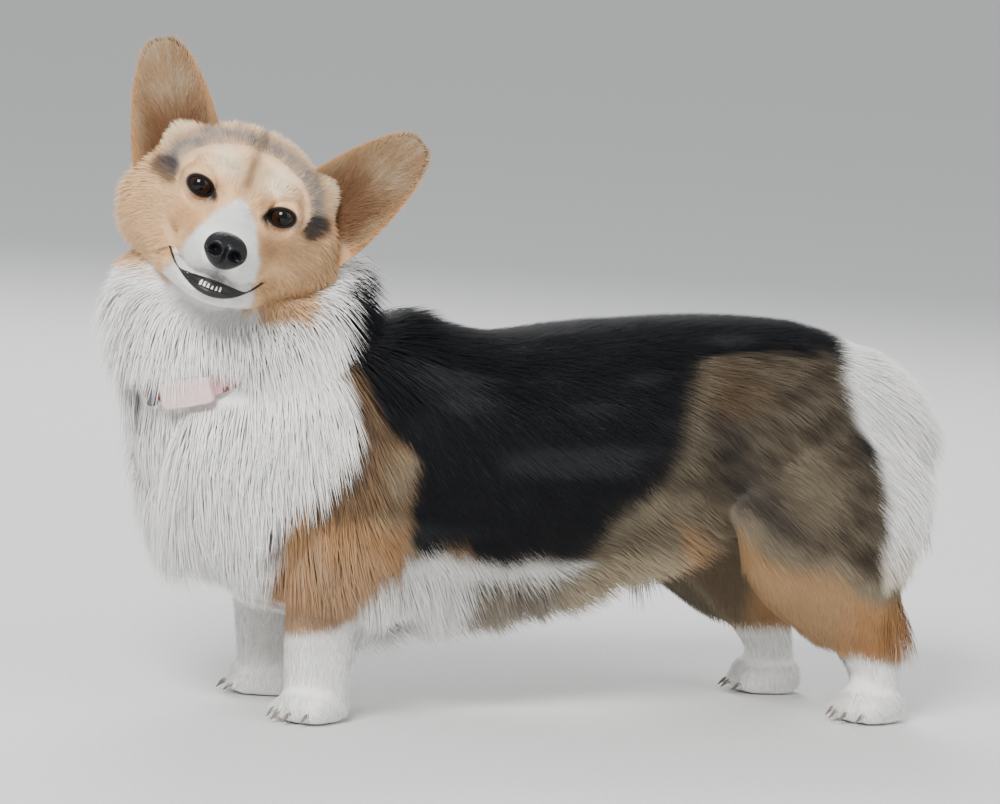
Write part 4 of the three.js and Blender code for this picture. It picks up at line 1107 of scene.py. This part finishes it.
def make_ear(hand, name):
    """The ear's skin and its own tufts: short fur on the back, long wisps in the cup."""
    grid, out = ear_grid(hand)
    obj = tube_object(f"ear_skin_{name}", grid)
    unwrap(obj)
    out_row = HEAD_ROT @ out
    root, tip = (from_head(end) for end in ear_ends(hand))
    spine = tip - root
    long = np.linalg.norm(spine)
    side = unit(np.cross(spine, out_row))

    def facts(p, n):
        """Place on the leaf, share of the cup's side, nearness to the rim, and height."""
        height = (p - root) @ spine / long ** 2
        inside = np.clip(height, 0, 0.99)
        leaf = ear_leaf(inside, EAR_HALF, 1.0, 0.05)
        across = (p - root) @ side
        place = np.stack([across, height * long, 0 * height], -1)
        return place, smoothstep(-0.1, 0.3, n @ out_row), np.clip(np.abs(across) / leaf, 0, 1.1), height

    paint(obj.data, ear_colour(*facts(get_points(obj.data), get_normals(obj.data))))
    dress(obj, skin_look, "coat_tan", f"ear_{name}")
    p, n, spot = sample_roots(obj, even, int(EAR_TUFTS * SHARE))
    keep = ((p - root) @ spine > -0.12 * long ** 2) & (np.abs(n @ spine) < 0.8 * long)
    p, n, spot = p[keep], n[keep], spot[keep]
    place, inner, rim, height = facts(p, n)
    up = unit(np.broadcast_to(spine, p.shape))
    edge = side * np.clip(place[:, 0] / 14, -1, 1)[:, None]
    lie = up * (1 - 0.2 * inner)[:, None] + edge * (0.25 + 0.45 * inner * (1 - rim))[:, None]
    hair = EAR_HAIR
    lie = along_skin(lie + hair["stray"] * rng.normal(size=p.shape), n)
    in_cup = inner * smoothstep(1.02, 0.8, rim)
    length = mix1(hair["back"], hair["cup"] - hair["shorter"] * height, in_cup)
    length = length * rng.uniform(*hair["length"], len(p)) * smoothstep(1.15, 0.9, height + 0.05)
    length = np.maximum(np.where(rim > 0.9, hair["rim"], length), hair["least"])
    tone = rng.uniform(*hair["tone"], len(p))[:, None]
    colour = ear_colour(place, inner, rim, height) * tone
    wide = (hair["wide"][0] + hair["wide"][1] * length) * GROW
    lean, drop = np.full(len(p), hair["lean"]), np.full(len(p), hair["drop"])
    tuft_mesh(
        f"coat_ear_{name}", p, n, lie, length, wide, lean, drop, colour, spot, 1, sleek_look,
        hair["soft"],
    )


def even(p, n):
    """The same everywhere."""
    return np.ones(len(p))


def clear(p):
    """False inside the opening of the lids, round the nose and on the lips."""
    q = to_head(p)
    lids = (eye_spot(q)[3] < 1.12) & (q[:, 0] > -6)
    nose = (q[:, 0] > NOSE["a"] - 9) & (np.abs(q[:, 1]) < 12) & (q[:, 2] > NOSE["v"] - 11)
    t = np.linspace(0, 1, 41)
    line = mouth_line(t) + [0, 0, 0.4]
    reach = 0.4 + 4.6 * mouth_open(t)
    near = np.min([np.linalg.norm(q - m, axis=1) - r for m, r in zip(line, reach)], axis=0)
    return ~(lids | nose | (near < 0))


LEAN = dict(short=0.32, middle=0.42, long=0.46, raised=1.0)


def lean_of(length):
    """How far the hair rises from the skin, in radians: little where it is short, more where it
    is long."""
    lean = mix1(LEAN["short"], LEAN["middle"], smoothstep(8, 22, length))
    return mix1(lean, LEAN["long"], smoothstep(26, 48, length))


def hang_of(p, n, length):
    """1 under the belly, where long hair hangs from the skin, and 0 elsewhere."""
    long = smoothstep(26, 44, length) * smoothstep(-190, -150, p[:, 0])
    return smoothstep(-0.1, -0.8, n[:, 2]) * long


def over_collar(p):
    """1 for hair that grows just above the band and has to rise over it."""
    high = above_collar(p, np.linspace(0, 1, 60))[0]
    return smoothstep(3, 9, high) * smoothstep(42, 26, high) * (p[:, 0] < -95)


# The lowest root, and the level and least room that a hair's end keeps above the floor. Then the
# share of a hair's length where its colour is read, and how uneven the hairs are.
FLOOR = dict(root=2.5, tip=3, least=0.5)
SEEN_AT = 0.72
UNEVEN = dict(length=(0.8, 1.16), clump=0.10, stray=0.07, tone=0.07, lean=(0.8, 1.2))


def coat(name, zone, count, rings, wide, look, soft, uneven):
    """Tufts over the part of the skin where zone(p) is above 0. wide is the width of a tuft: a
    fixed part and a part for each millimetre of its length."""
    p, n, spot = sample_roots(skin, zone, int(count * SHARE))
    keep = clear(p) & (p[:, 2] > FLOOR["root"])
    p, n, spot = p[keep], n[keep], spot[keep]
    length = coat_size(p) * rng.uniform(*UNEVEN["length"], len(p))
    length = length * (1 + UNEVEN["clump"] * wave_noise(p, 9, 41))
    lie = unit(lie_at(p, n) + UNEVEN["stray"] * rng.normal(size=p.shape))
    lie = along_skin(lie, n)
    # The markings are read near the hair's end, where it is seen.
    colour = coat_colour(p + n * 2 + lie * length[:, None] * SEEN_AT)
    tone = 1 + uneven * rng.uniform(-1, 1, len(p))
    tone = tone * (1 + UNEVEN["tone"] * wave_noise(p, 6.5, 42))
    hang = hang_of(p, n, length)
    lean = mix1(lean_of(length), LEAN["raised"], np.maximum(hang, over_collar(p)))
    lean = lean * rng.uniform(*UNEVEN["lean"], len(p))
    room = np.maximum(p[:, 2] - FLOOR["tip"], FLOOR["least"])
    fall = np.maximum(-(lie[:, 2] * np.cos(lean) + n[:, 2] * np.sin(lean)) * length, 1e-3)
    length = np.where(fall > room, length * room / fall, length)
    length = collar_trim(p, length)
    width = (wide[0] + wide[1] * length) * GROW
    drop = lean * mix1(0.5, 0.3, hang) * smoothstep(0, 12, length)
    colour = colour * tone[:, None]
    tuft_mesh(name, p, n, lie, length, width, lean, drop, colour, spot, rings, look, soft)


def face_zone(p, n):
    """The short hair of the head, thicker towards the muzzle."""
    q = to_head(p)
    close = smoothstep(-40, 0, q[:, 0])
    weight = head_share(p) * (0.3 + 0.7 * close) * (1 + 0.8 * smoothstep(20, 45, q[:, 0]))
    return weight * (coat_size(p) < 18)


def cheek_zone(p, n):
    """The long hair of the head."""
    return head_share(p) * (coat_size(p) >= 17)


def foot_zone(p, n):
    """Paws and lower legs, but not the soles."""
    low = (p[:, 2] < 62) & (head_share(p) < 0.5)
    return low * (1 + smoothstep(40, 20, p[:, 2])) * (n[:, 2] > -0.7)


def short_zone(p, n):
    """The shorter hair of trunk and legs."""
    return ((p[:, 2] >= 58) & (head_share(p) < 0.6) & (coat_size(p) < 31)).astype(float)


def long_zone(p, n):
    """The longer hair of trunk and legs. It overlaps the shorter hair a little."""
    return ((p[:, 2] >= 50) & (head_share(p) < 0.6) & (coat_size(p) >= 28)).astype(float)


# Each piece of the coat: its name, where it grows, how many tufts, rings, width, look, how far
# its shading follows the skin, and how uneven its tone is.
COATS = (
    ("coat_face", face_zone, 84000, 1, (0.42, 0.035), sleek_look, 0.5, 0.22),
    ("coat_cheeks", cheek_zone, 15000, 2, (0.6, 0.006), hair_look, 0.6, 0.2),
    ("coat_feet", foot_zone, 17000, 1, (0.5, 0.05), sleek_look, 0.55, 0.16),
    ("coat_body", short_zone, 98000, 1, (0.62, 0.006), hair_look, 0.7, 0.16),
    ("coat_long", long_zone, 44000, 2, (0.7, 0.004), hair_look, 0.72, 0.12),
)
EAR_TUFTS = 11000

# Eyes, lids, nose, lips, teeth and claws
EYE_INNER = np.array([0.010, 0.005, 0.003])
EYE_WHITE = np.array([0.16, 0.12, 0.10])
# Rings of the iris, each fading in between two distances from the gaze line.
EYE_RINGS = (
    (4, 6.4, np.array([0.026, 0.011, 0.005])), (7.0, 7.8, np.array([0.006, 0.004, 0.003])),
    (4.2, 3.6, np.array([0.002, 0.002, 0.002])), (8.6, 9.6, EYE_WHITE),
)


def make_eye(hand, name):
    """A ball with a bulged cornea. Its colour rings are distances from the gaze line."""
    out = math.radians(EYE["out"])
    gaze = np.array([math.cos(out), hand * math.sin(out), 0.0])
    th = np.linspace(0.001, math.pi - 0.001, 49)[:, None]
    ph = np.linspace(0, TURN, 64, endpoint=False)[None]
    r = EYE["r"] + EYE["bulge"] * np.clip(1 - (th / EYE["cornea"]) ** 2, 0, 1)
    ring = [r * np.cos(th) + 0 * ph, r * np.sin(th) * np.cos(ph), r * np.sin(th) * np.sin(ph)]
    turn = spin("Z", hand * EYE["out"])
    centre = np.array([EYE["a"], hand * EYE["e"], EYE["v"]])
    obj = tube_object(f"eyeball_{name}", from_head(np.stack(ring, -1) @ turn.T + centre))
    d = to_head(get_points(obj.data)) - centre
    off = np.linalg.norm(d - (d @ gaze)[:, None] * gaze, axis=1)
    colour = EYE_INNER
    for start, end, tone in EYE_RINGS:
        colour = mix(colour, tone, smoothstep(start, end, off))
    paint(obj.data, np.where((d @ gaze > 0)[:, None], colour, EYE_WHITE))
    dress(obj, eye_look, "eye_dark", f"eye_{name}")


def make_lids(hand, name):
    """A thin dark rim on the almond's edge: a closed tube that lies on the ball."""
    s = np.linspace(0, TURN, 96, endpoint=False)
    y = LID["half"] * np.cos(s)
    high = np.where(np.sin(s) > 0, LID["upper"], LID["lower"])
    z = high * np.sin(s) + LID["slant"] * y
    far = np.hypot(y, z)
    x = np.sqrt(EYE["r"] ** 2 - far ** 2) + LID_RIM["lift"]
    middle = np.stack([x, y, z], -1)
    out = unit(middle)
    ahead = unit(np.roll(middle, -1, 0) - np.roll(middle, 1, 0))
    flank = np.cross(out, ahead)
    k = np.linspace(0, TURN, 12, endpoint=False)
    upper = (np.sin(s) > 0) * np.abs(np.sin(s))
    rim = LID_RIM["half"] * (1 + LID_RIM["heavier"] * upper)[:, None, None]
    off = np.cos(k)[None, :, None] * out[:, None]
    ring = middle[:, None] + rim * (off + LID_RIM["wider"] * np.sin(k)[None, :, None] * flank[:, None])
    ring[..., 1] = (ring[..., 1] + EYE["e"]) * hand
    ring = ring + np.array([EYE["a"], 0, EYE["v"]])
    dress(loop_object(f"lids_{name}", from_head(ring)), lid_look, "lip_skin")


def loop_object(name, ring):
    """A closed ring-shaped tube from a grid of points that joins up in both directions."""
    rings, around = ring.shape[:2]
    i, j = np.meshgrid(np.arange(rings), np.arange(around), indexing="ij")
    m, k = (i + 1) % rings, (j + 1) % around
    faces = np.stack([i * around + j, i * around + k, m * around + k, m * around + j], -1)
    obj = mesh_of(name, ring.reshape(-1, 3), faces.reshape(-1, 4).tolist())
    outward(obj)
    shade_smooth(obj)
    return obj


# A nostril: its place to the side and up, its size and stretch. Then how far each form moves.
NOSTRIL = ((6.6, -0.6), 4.6, 1.15)
NOSE_RELIEF = dict(hole=-6.5, slit=1.8, wing=0.8, groove=1.4, top=2.0)


def make_nose():
    """An ellipsoid flattened in front, with a groove down the middle and two comma nostrils, each
    a round falloff drawn inward with a slit that runs back to the side."""
    th = np.linspace(0.004, math.pi - 0.004, 96)[:, None]
    ph = np.linspace(0, TURN, 160, endpoint=False)[None]
    d = np.stack([np.cos(th) + 0 * ph, np.sin(th) * np.cos(ph), np.sin(th) * np.sin(ph)], -1)
    boxy = np.array([0.8, 0.9, 0.9])
    p = np.sign(d) * np.abs(d) ** boxy * np.array([NOSE["deep"] + 1, NOSE["half"], NOSE["up"]])
    v = p[..., 2]
    p[..., 1] *= 1 - 0.22 * smoothstep(0, -12, v)
    front = smoothstep(0.0, 0.5, d[..., 0])
    e = p[..., 1]
    side = np.abs(e)
    hole = patch(side, v, *NOSTRIL)
    slit = np.exp(-(((v + 3.4 - 0.25 * (side - 8)) / 1.3) ** 2))
    slit = slit * smoothstep(7, 9, side) * smoothstep(16, 12, side)
    wing = np.exp(-(((np.hypot(side - 7, v + 0.5) - 5.6) / 1.6) ** 2))
    groove = np.exp(-((e / 0.9) ** 2)) * smoothstep(6, 0, v)
    deep = NOSE_RELIEF
    drawn = deep["hole"] * hole - deep["slit"] * slit * (1 - hole) + deep["wing"] * wing
    p[..., 0] += front * (drawn - deep["groove"] * groove)
    p[..., 0] -= deep["top"] * smoothstep(4, 12, v)
    obj = tube_object("nose_pad", from_head(p + np.array([NOSE["a"] - 0.6, 0, NOSE["v"]])))
    dress(obj, nose_look, "nose_skin", "nose")


def tube_along(points, half, upward, around=20):
    """A closed tube round a line of points, with half sizes across and along upward."""
    axis = unit(np.gradient(points, axis=0))
    level = unit(np.cross(np.broadcast_to(np.asarray(upward, float), axis.shape), axis))
    rise = unit(np.cross(axis, level))
    u = np.linspace(0, TURN, around, endpoint=False)
    return (
        points[:, None]
        + (np.cos(u)[None] * half[:, :1])[..., None] * level[:, None]
        + (np.sin(u)[None] * half[:, 1:])[..., None] * rise[:, None]
    )


# Each dark part of the mouth: its name, how far back and up it lies from the mouth's line, its half
# sizes across and high at the corners and what the middle adds, how far the middle moves up, and
# the nodes of the solids that it stands for.
LIPS = (
    ("lip_lower", (-1.2, -0.1), (0.5, 2.6), (0.25, 2.5), -1.8, ("lips",)),
    ("lip_upper", (-1.2, 0.1), (0.3, 0.9), (0.15, 0.55), 5.4, ()),
    ("mouth_inside", (-3.4, 0.1), (1.0, 2.6), (0.2, 4.7), 1.4, ()),
)
# How far the corners of the mouth lie back, in millimetres, and in, as a share.
CORNER = dict(back=3.6, narrow=0.1)


def make_lips():
    """Dark edges along the mouth's line: a thin upper lip, a fuller lower one that swells towards
    the middle, and the dark of the mouth behind them."""
    t = np.linspace(0, 1, 60)
    line = mouth_line(t)
    swell = mouth_open(t)
    for name, move, across, high, rise, nodes in LIPS:
        middle = line + np.array([move[0], 0, move[1]])
        middle = middle + np.stack([-CORNER["back"] * (1 - swell), 0 * t, rise * swell], -1)
        middle[:, 1] *= 1 - CORNER["narrow"] * (1 - swell)
        half = np.stack([across[0] + across[1] * swell, high[0] + high[1] * swell], -1)
        obj = tube_object(name, from_head(tube_along(middle, half, (0, 0, 1))))
        dress(obj, lip_look, "lip_skin", *nodes)


# Places of the teeth along the mouth's line from its middle; half width, half depth and height.
TOOTH = dict(places=np.arange(-2.5, 3) * 0.024, half=1.35, deep=0.9, high=4.4, least=0.02)


def make_teeth():
    """Six small lower incisors: rounded pegs that narrow to their edge."""
    h = np.linspace(0, 1, 9)
    across = TOOTH["half"] * np.sqrt(np.maximum(1 - h ** 4, TOOTH["least"]))
    deep = TOOTH["deep"] * np.sqrt(np.maximum(1 - h ** 3, TOOTH["least"]))
    half = np.stack([across, deep], -1)
    for i, place in enumerate(mouth_line(0.5 + TOOTH["places"])):
        peg = np.stack([0 * h, 0 * h, TOOTH["high"] * h], -1)
        middle = place + np.array([-0.6, 0, -0.6]) + peg
        obj = tube_object(f"incisor_{i}", from_head(tube_along(middle, half, (1, 0, 0), 14)))
        dress(obj, tooth_look, "coat_white")


CLAW = dict(wide=1.5, high=1.6, tip=0.2, top=7.6, fall=5.2, in_toe=4, long=7)


def make_claws():
    """A curved cone from each toe, its middle a short arc down to the floor."""
    t = np.linspace(0, 1, 14)
    fade = (1 - t) ** 0.7
    half = np.stack([CLAW["wide"] * fade + CLAW["tip"], CLAW["high"] * fade + CLAW["tip"]], -1)
    z = CLAW["top"] - CLAW["fall"] * t ** 1.6
    spots = [(foot, toe) for foot in paw_places() for toe in toes()]
    for number, (foot, (reach, across)) in enumerate(spots):
        x = -reach - PAW["toe"][0] + CLAW["in_toe"] - CLAW["long"] * t
        middle = np.stack([x, np.full_like(x, across), z], -1)
        grid = on_paw(foot, tube_along(middle, half, (0, 0, 1), 14))
        dress(tube_object(f"claw_{number}", grid), claw_look, "lip_skin")


# Collar
COLLAR = dict(along=0.55, lean=0.17, front=0.9, width=15, thick=2.5, sunk=6, beside=24, clear=60)
# The stretch of the neck's turn where the collar is seen, and how soon it sinks beyond it.
COLLAR_SEEN = (0.81, 0.905)
COLLAR_FADE = 0.03
# What sits on the band: name, node, place round the neck, size, look and slot.
COLLAR_PARTS = (
    ("buckle", "collar_buckle", 0.875, (36, 8, 19), buckle_look, "buckle_plastic"),
    ("slide", "collar_slide", 0.822, (6, 6, 19), metal_look, "slide_metal"),
)


def neck_point(u, v, inset, share=0.12):
    """A place on the neck at u round and v along, as in the solids, sunk by inset, and the way
    out there."""
    t = np.clip((np.asarray(v) - share) / (1 - 2 * share), 0, 1)
    rows = path_rows(NECK)
    row = glide(rows, t)
    level, rise = frame_along(rows, t, (1, 0, 0))[1:]
    angle = np.asarray(u) * TURN
    right, up = np.cos(angle), np.sin(angle)
    at = row[..., :3] + (right * (row[..., 3] - inset))[..., None] * level
    at = at + (up * (row[..., 4] - inset))[..., None] * rise
    return at, unit(right[..., None] * level + up[..., None] * rise)


def collar_frame(u):
    """Places round the middle of the band and the way out there. Under the hair it lies closer."""
    v = COLLAR["along"] - COLLAR["lean"] * np.cos(TURN * (u - COLLAR["front"]))
    low, high = COLLAR_SEEN
    seen = within(u, low - COLLAR_FADE, low, high, high + COLLAR_FADE)
    return neck_point(u, v, COLLAR["sunk"] * (1 - seen))


def make_collar():
    """A woven band: a flat section carried round the neck, with rolled edges, and the buckle and
    the slide on it."""
    u = np.linspace(0, 1, 180, endpoint=False)
    at, out = collar_frame(u)
    tangent = unit(np.roll(at, -1, 0) - np.roll(at, 1, 0))
    rise = unit(np.cross(out, tangent))
    rise = rise * np.sign(rise[:, 2:3])
    s = np.linspace(0, TURN, 28, endpoint=False)
    high = np.sign(np.cos(s)) * np.abs(np.cos(s)) ** 0.35 * (COLLAR["width"] / 2 - 0.6)
    off = np.sign(np.sin(s)) * np.abs(np.sin(s)) ** 0.6 * 1.3 + 0.6
    ring = at[:, None] + high[None, :, None] * rise[:, None] + off[None, :, None] * out[:, None]
    dress(loop_object("collar", ring), band_look, "collar_fabric", "collar_band")
    for name, node, spot, size, look, slot in COLLAR_PARTS:
        at, out = collar_frame(np.array([spot - 0.01, spot, spot + 0.01]))
        tangent = unit(at[2] - at[0])
        rise = unit(np.cross(tangent, out[1]))
        grid = ball((0, 0, 0), (1, 1, 1), 64, 40)
        grid = np.sign(grid) * np.abs(grid) ** 0.28 * (np.array(size) / 2 - 0.2)
        if name == "buckle":
            long, face, tall = grid[..., 0], grid[..., 1] > 0, np.abs(grid[..., 2])
            dent = np.exp(-(((np.abs(long) - 9.5) / 1.0) ** 2))
            button = smoothstep(6.5, 3.5, tall) * smoothstep(8, 6, np.abs(long))
            grid[..., 1] += face * (0.7 * button - 0.9 * dent)
        centre = at[1] + out[1] * (COLLAR["thick"] + size[1] / 2 - 2)
        place = grid @ np.stack([tangent, out[1], rise])
        dress(tube_object(name, place + centre), look, slot, node)


def above_collar(p, u):
    """Height above the middle of the nearest stretch of the band, and whether it is beside it."""
    at = collar_frame(u)[0]
    gap = p[:, None] - at[None]
    near = np.argmin(np.einsum("ijk,ijk->ij", gap, gap), axis=1)
    gap = gap[np.arange(len(p)), near]
    return gap[:, 2], np.hypot(gap[:, 0], gap[:, 1]) > COLLAR["beside"]


def collar_trim(p, length):
    """Shortens the hair that grows on and above the band where the photo shows the collar, so the
    buckle and a stretch of the band stay in sight; elsewhere it falls over the band."""
    high, beside = above_collar(p, np.linspace(*COLLAR_SEEN, 25))
    free = COLLAR["clear"]
    room = np.where(high > 0, np.maximum(1.7 * high, 2), free)
    room = np.where(np.abs(high) < COLLAR["width"] / 2, 2, room)
    return np.where(beside | (high > free), length, np.minimum(length, room))


# Floor, light and camera
STAGE = dict(floor=300, world=(0.93, 0.95, 0.97, 1), strength=0.72, aim=(0, 0, 0.22))
# Each lamp: name, place, size and power.
LIGHTS = (
    ("key", (-1.9, -2.3, 2.5), 1.3, 205),
    ("fill", (2.2, -2.2, 1.6), 2.4, 34),
    ("back", (0.6, 2.4, 2.2), 1.6, 70),
)


def make_stage():
    """A wide pale floor, three soft lamps and an even pale surround."""
    half = STAGE["floor"]
    mesh = bpy.data.meshes.new("floor")
    corners = [(-half, -half, 0), (half, -half, 0), (half, half, 0), (-half, half, 0)]
    mesh.from_pydata(corners, [], [(0, 1, 2, 3)])
    mesh.materials.append(floor_look)
    placed("floor", mesh)
    for name, at, size, power in LIGHTS:
        light = bpy.data.lights.new(name, "AREA")
        light.size = size
        light.energy = power
        lamp = placed(name, light)
        lamp.location = at
        aim = Vector(STAGE["aim"]) - Vector(at)
        lamp.rotation_euler = aim.to_track_quat("-Z", "Y").to_euler()
    world = bpy.data.worlds.new("studio")
    world.use_nodes = True
    back = world.node_tree.nodes["Background"]
    back.inputs["Color"].default_value = STAGE["world"]
    back.inputs["Strength"].default_value = STAGE["strength"]
    bpy.context.scene.world = world


# The photo's view: degrees round towards the chest, above the floor and of roll; the distance in
# metres, the place looked at in the part's frame, and the lens.
CAMERA = dict(angles=(-22, 6, 4), far=3.0, target=(-21, 0, 216), lens=154.4, sensor=36, clip=(0.1, 1000))


def make_camera():
    """The camera at the photo's angle. Its right and up turn by the roll about the line of sight."""
    az, el, roll = (math.radians(d) for d in CAMERA["angles"])
    back = np.array([math.sin(az) * math.cos(el), -math.cos(az) * math.cos(el), math.sin(el)])
    right = np.array([math.cos(az), math.sin(az), 0.0])
    up = np.cross(back, right)
    r = math.cos(roll) * right + math.sin(roll) * up
    u = -math.sin(roll) * right + math.cos(roll) * up
    data = bpy.data.cameras.new("camera")
    data.sensor_width = CAMERA["sensor"]
    data.lens = CAMERA["lens"]
    data.clip_start, data.clip_end = CAMERA["clip"]
    cam = placed("camera", data)
    place = to_row(CAMERA["target"]) + back * CAMERA["far"]
    cam.matrix_world = Matrix([*np.stack([r, u, back, place], -1).tolist(), (0, 0, 0, 1)])
    bpy.context.scene.camera = cam


# The skin, its coat, and the rest
skin = make_skin()
shape_face(skin)
flatten_soles(skin)
unwrap(skin)
shade_smooth(skin)
outward(skin)
paint(skin.data, coat_colour(get_points(skin.data)) * SKIN["tone"])
FLESH = ["chest", "barrel", "rump", "neck", "head", "jaw", "tail"]
for side_name in ("left", "right"):
    FLESH += [f"{part}_{side_name}" for part in ("foreleg", "hindleg", "forepaw", "hindpaw")]
dress(skin, skin_look, "coat_white", *FLESH)
for piece in COATS:
    coat(*piece)
for hand, name in ((1, "left"), (-1, "right")):
    make_ear(hand, name)
    make_eye(hand, name)
    make_lids(hand, name)
make_nose()
make_lips()
make_teeth()
make_claws()
make_collar()
make_stage()
make_camera()
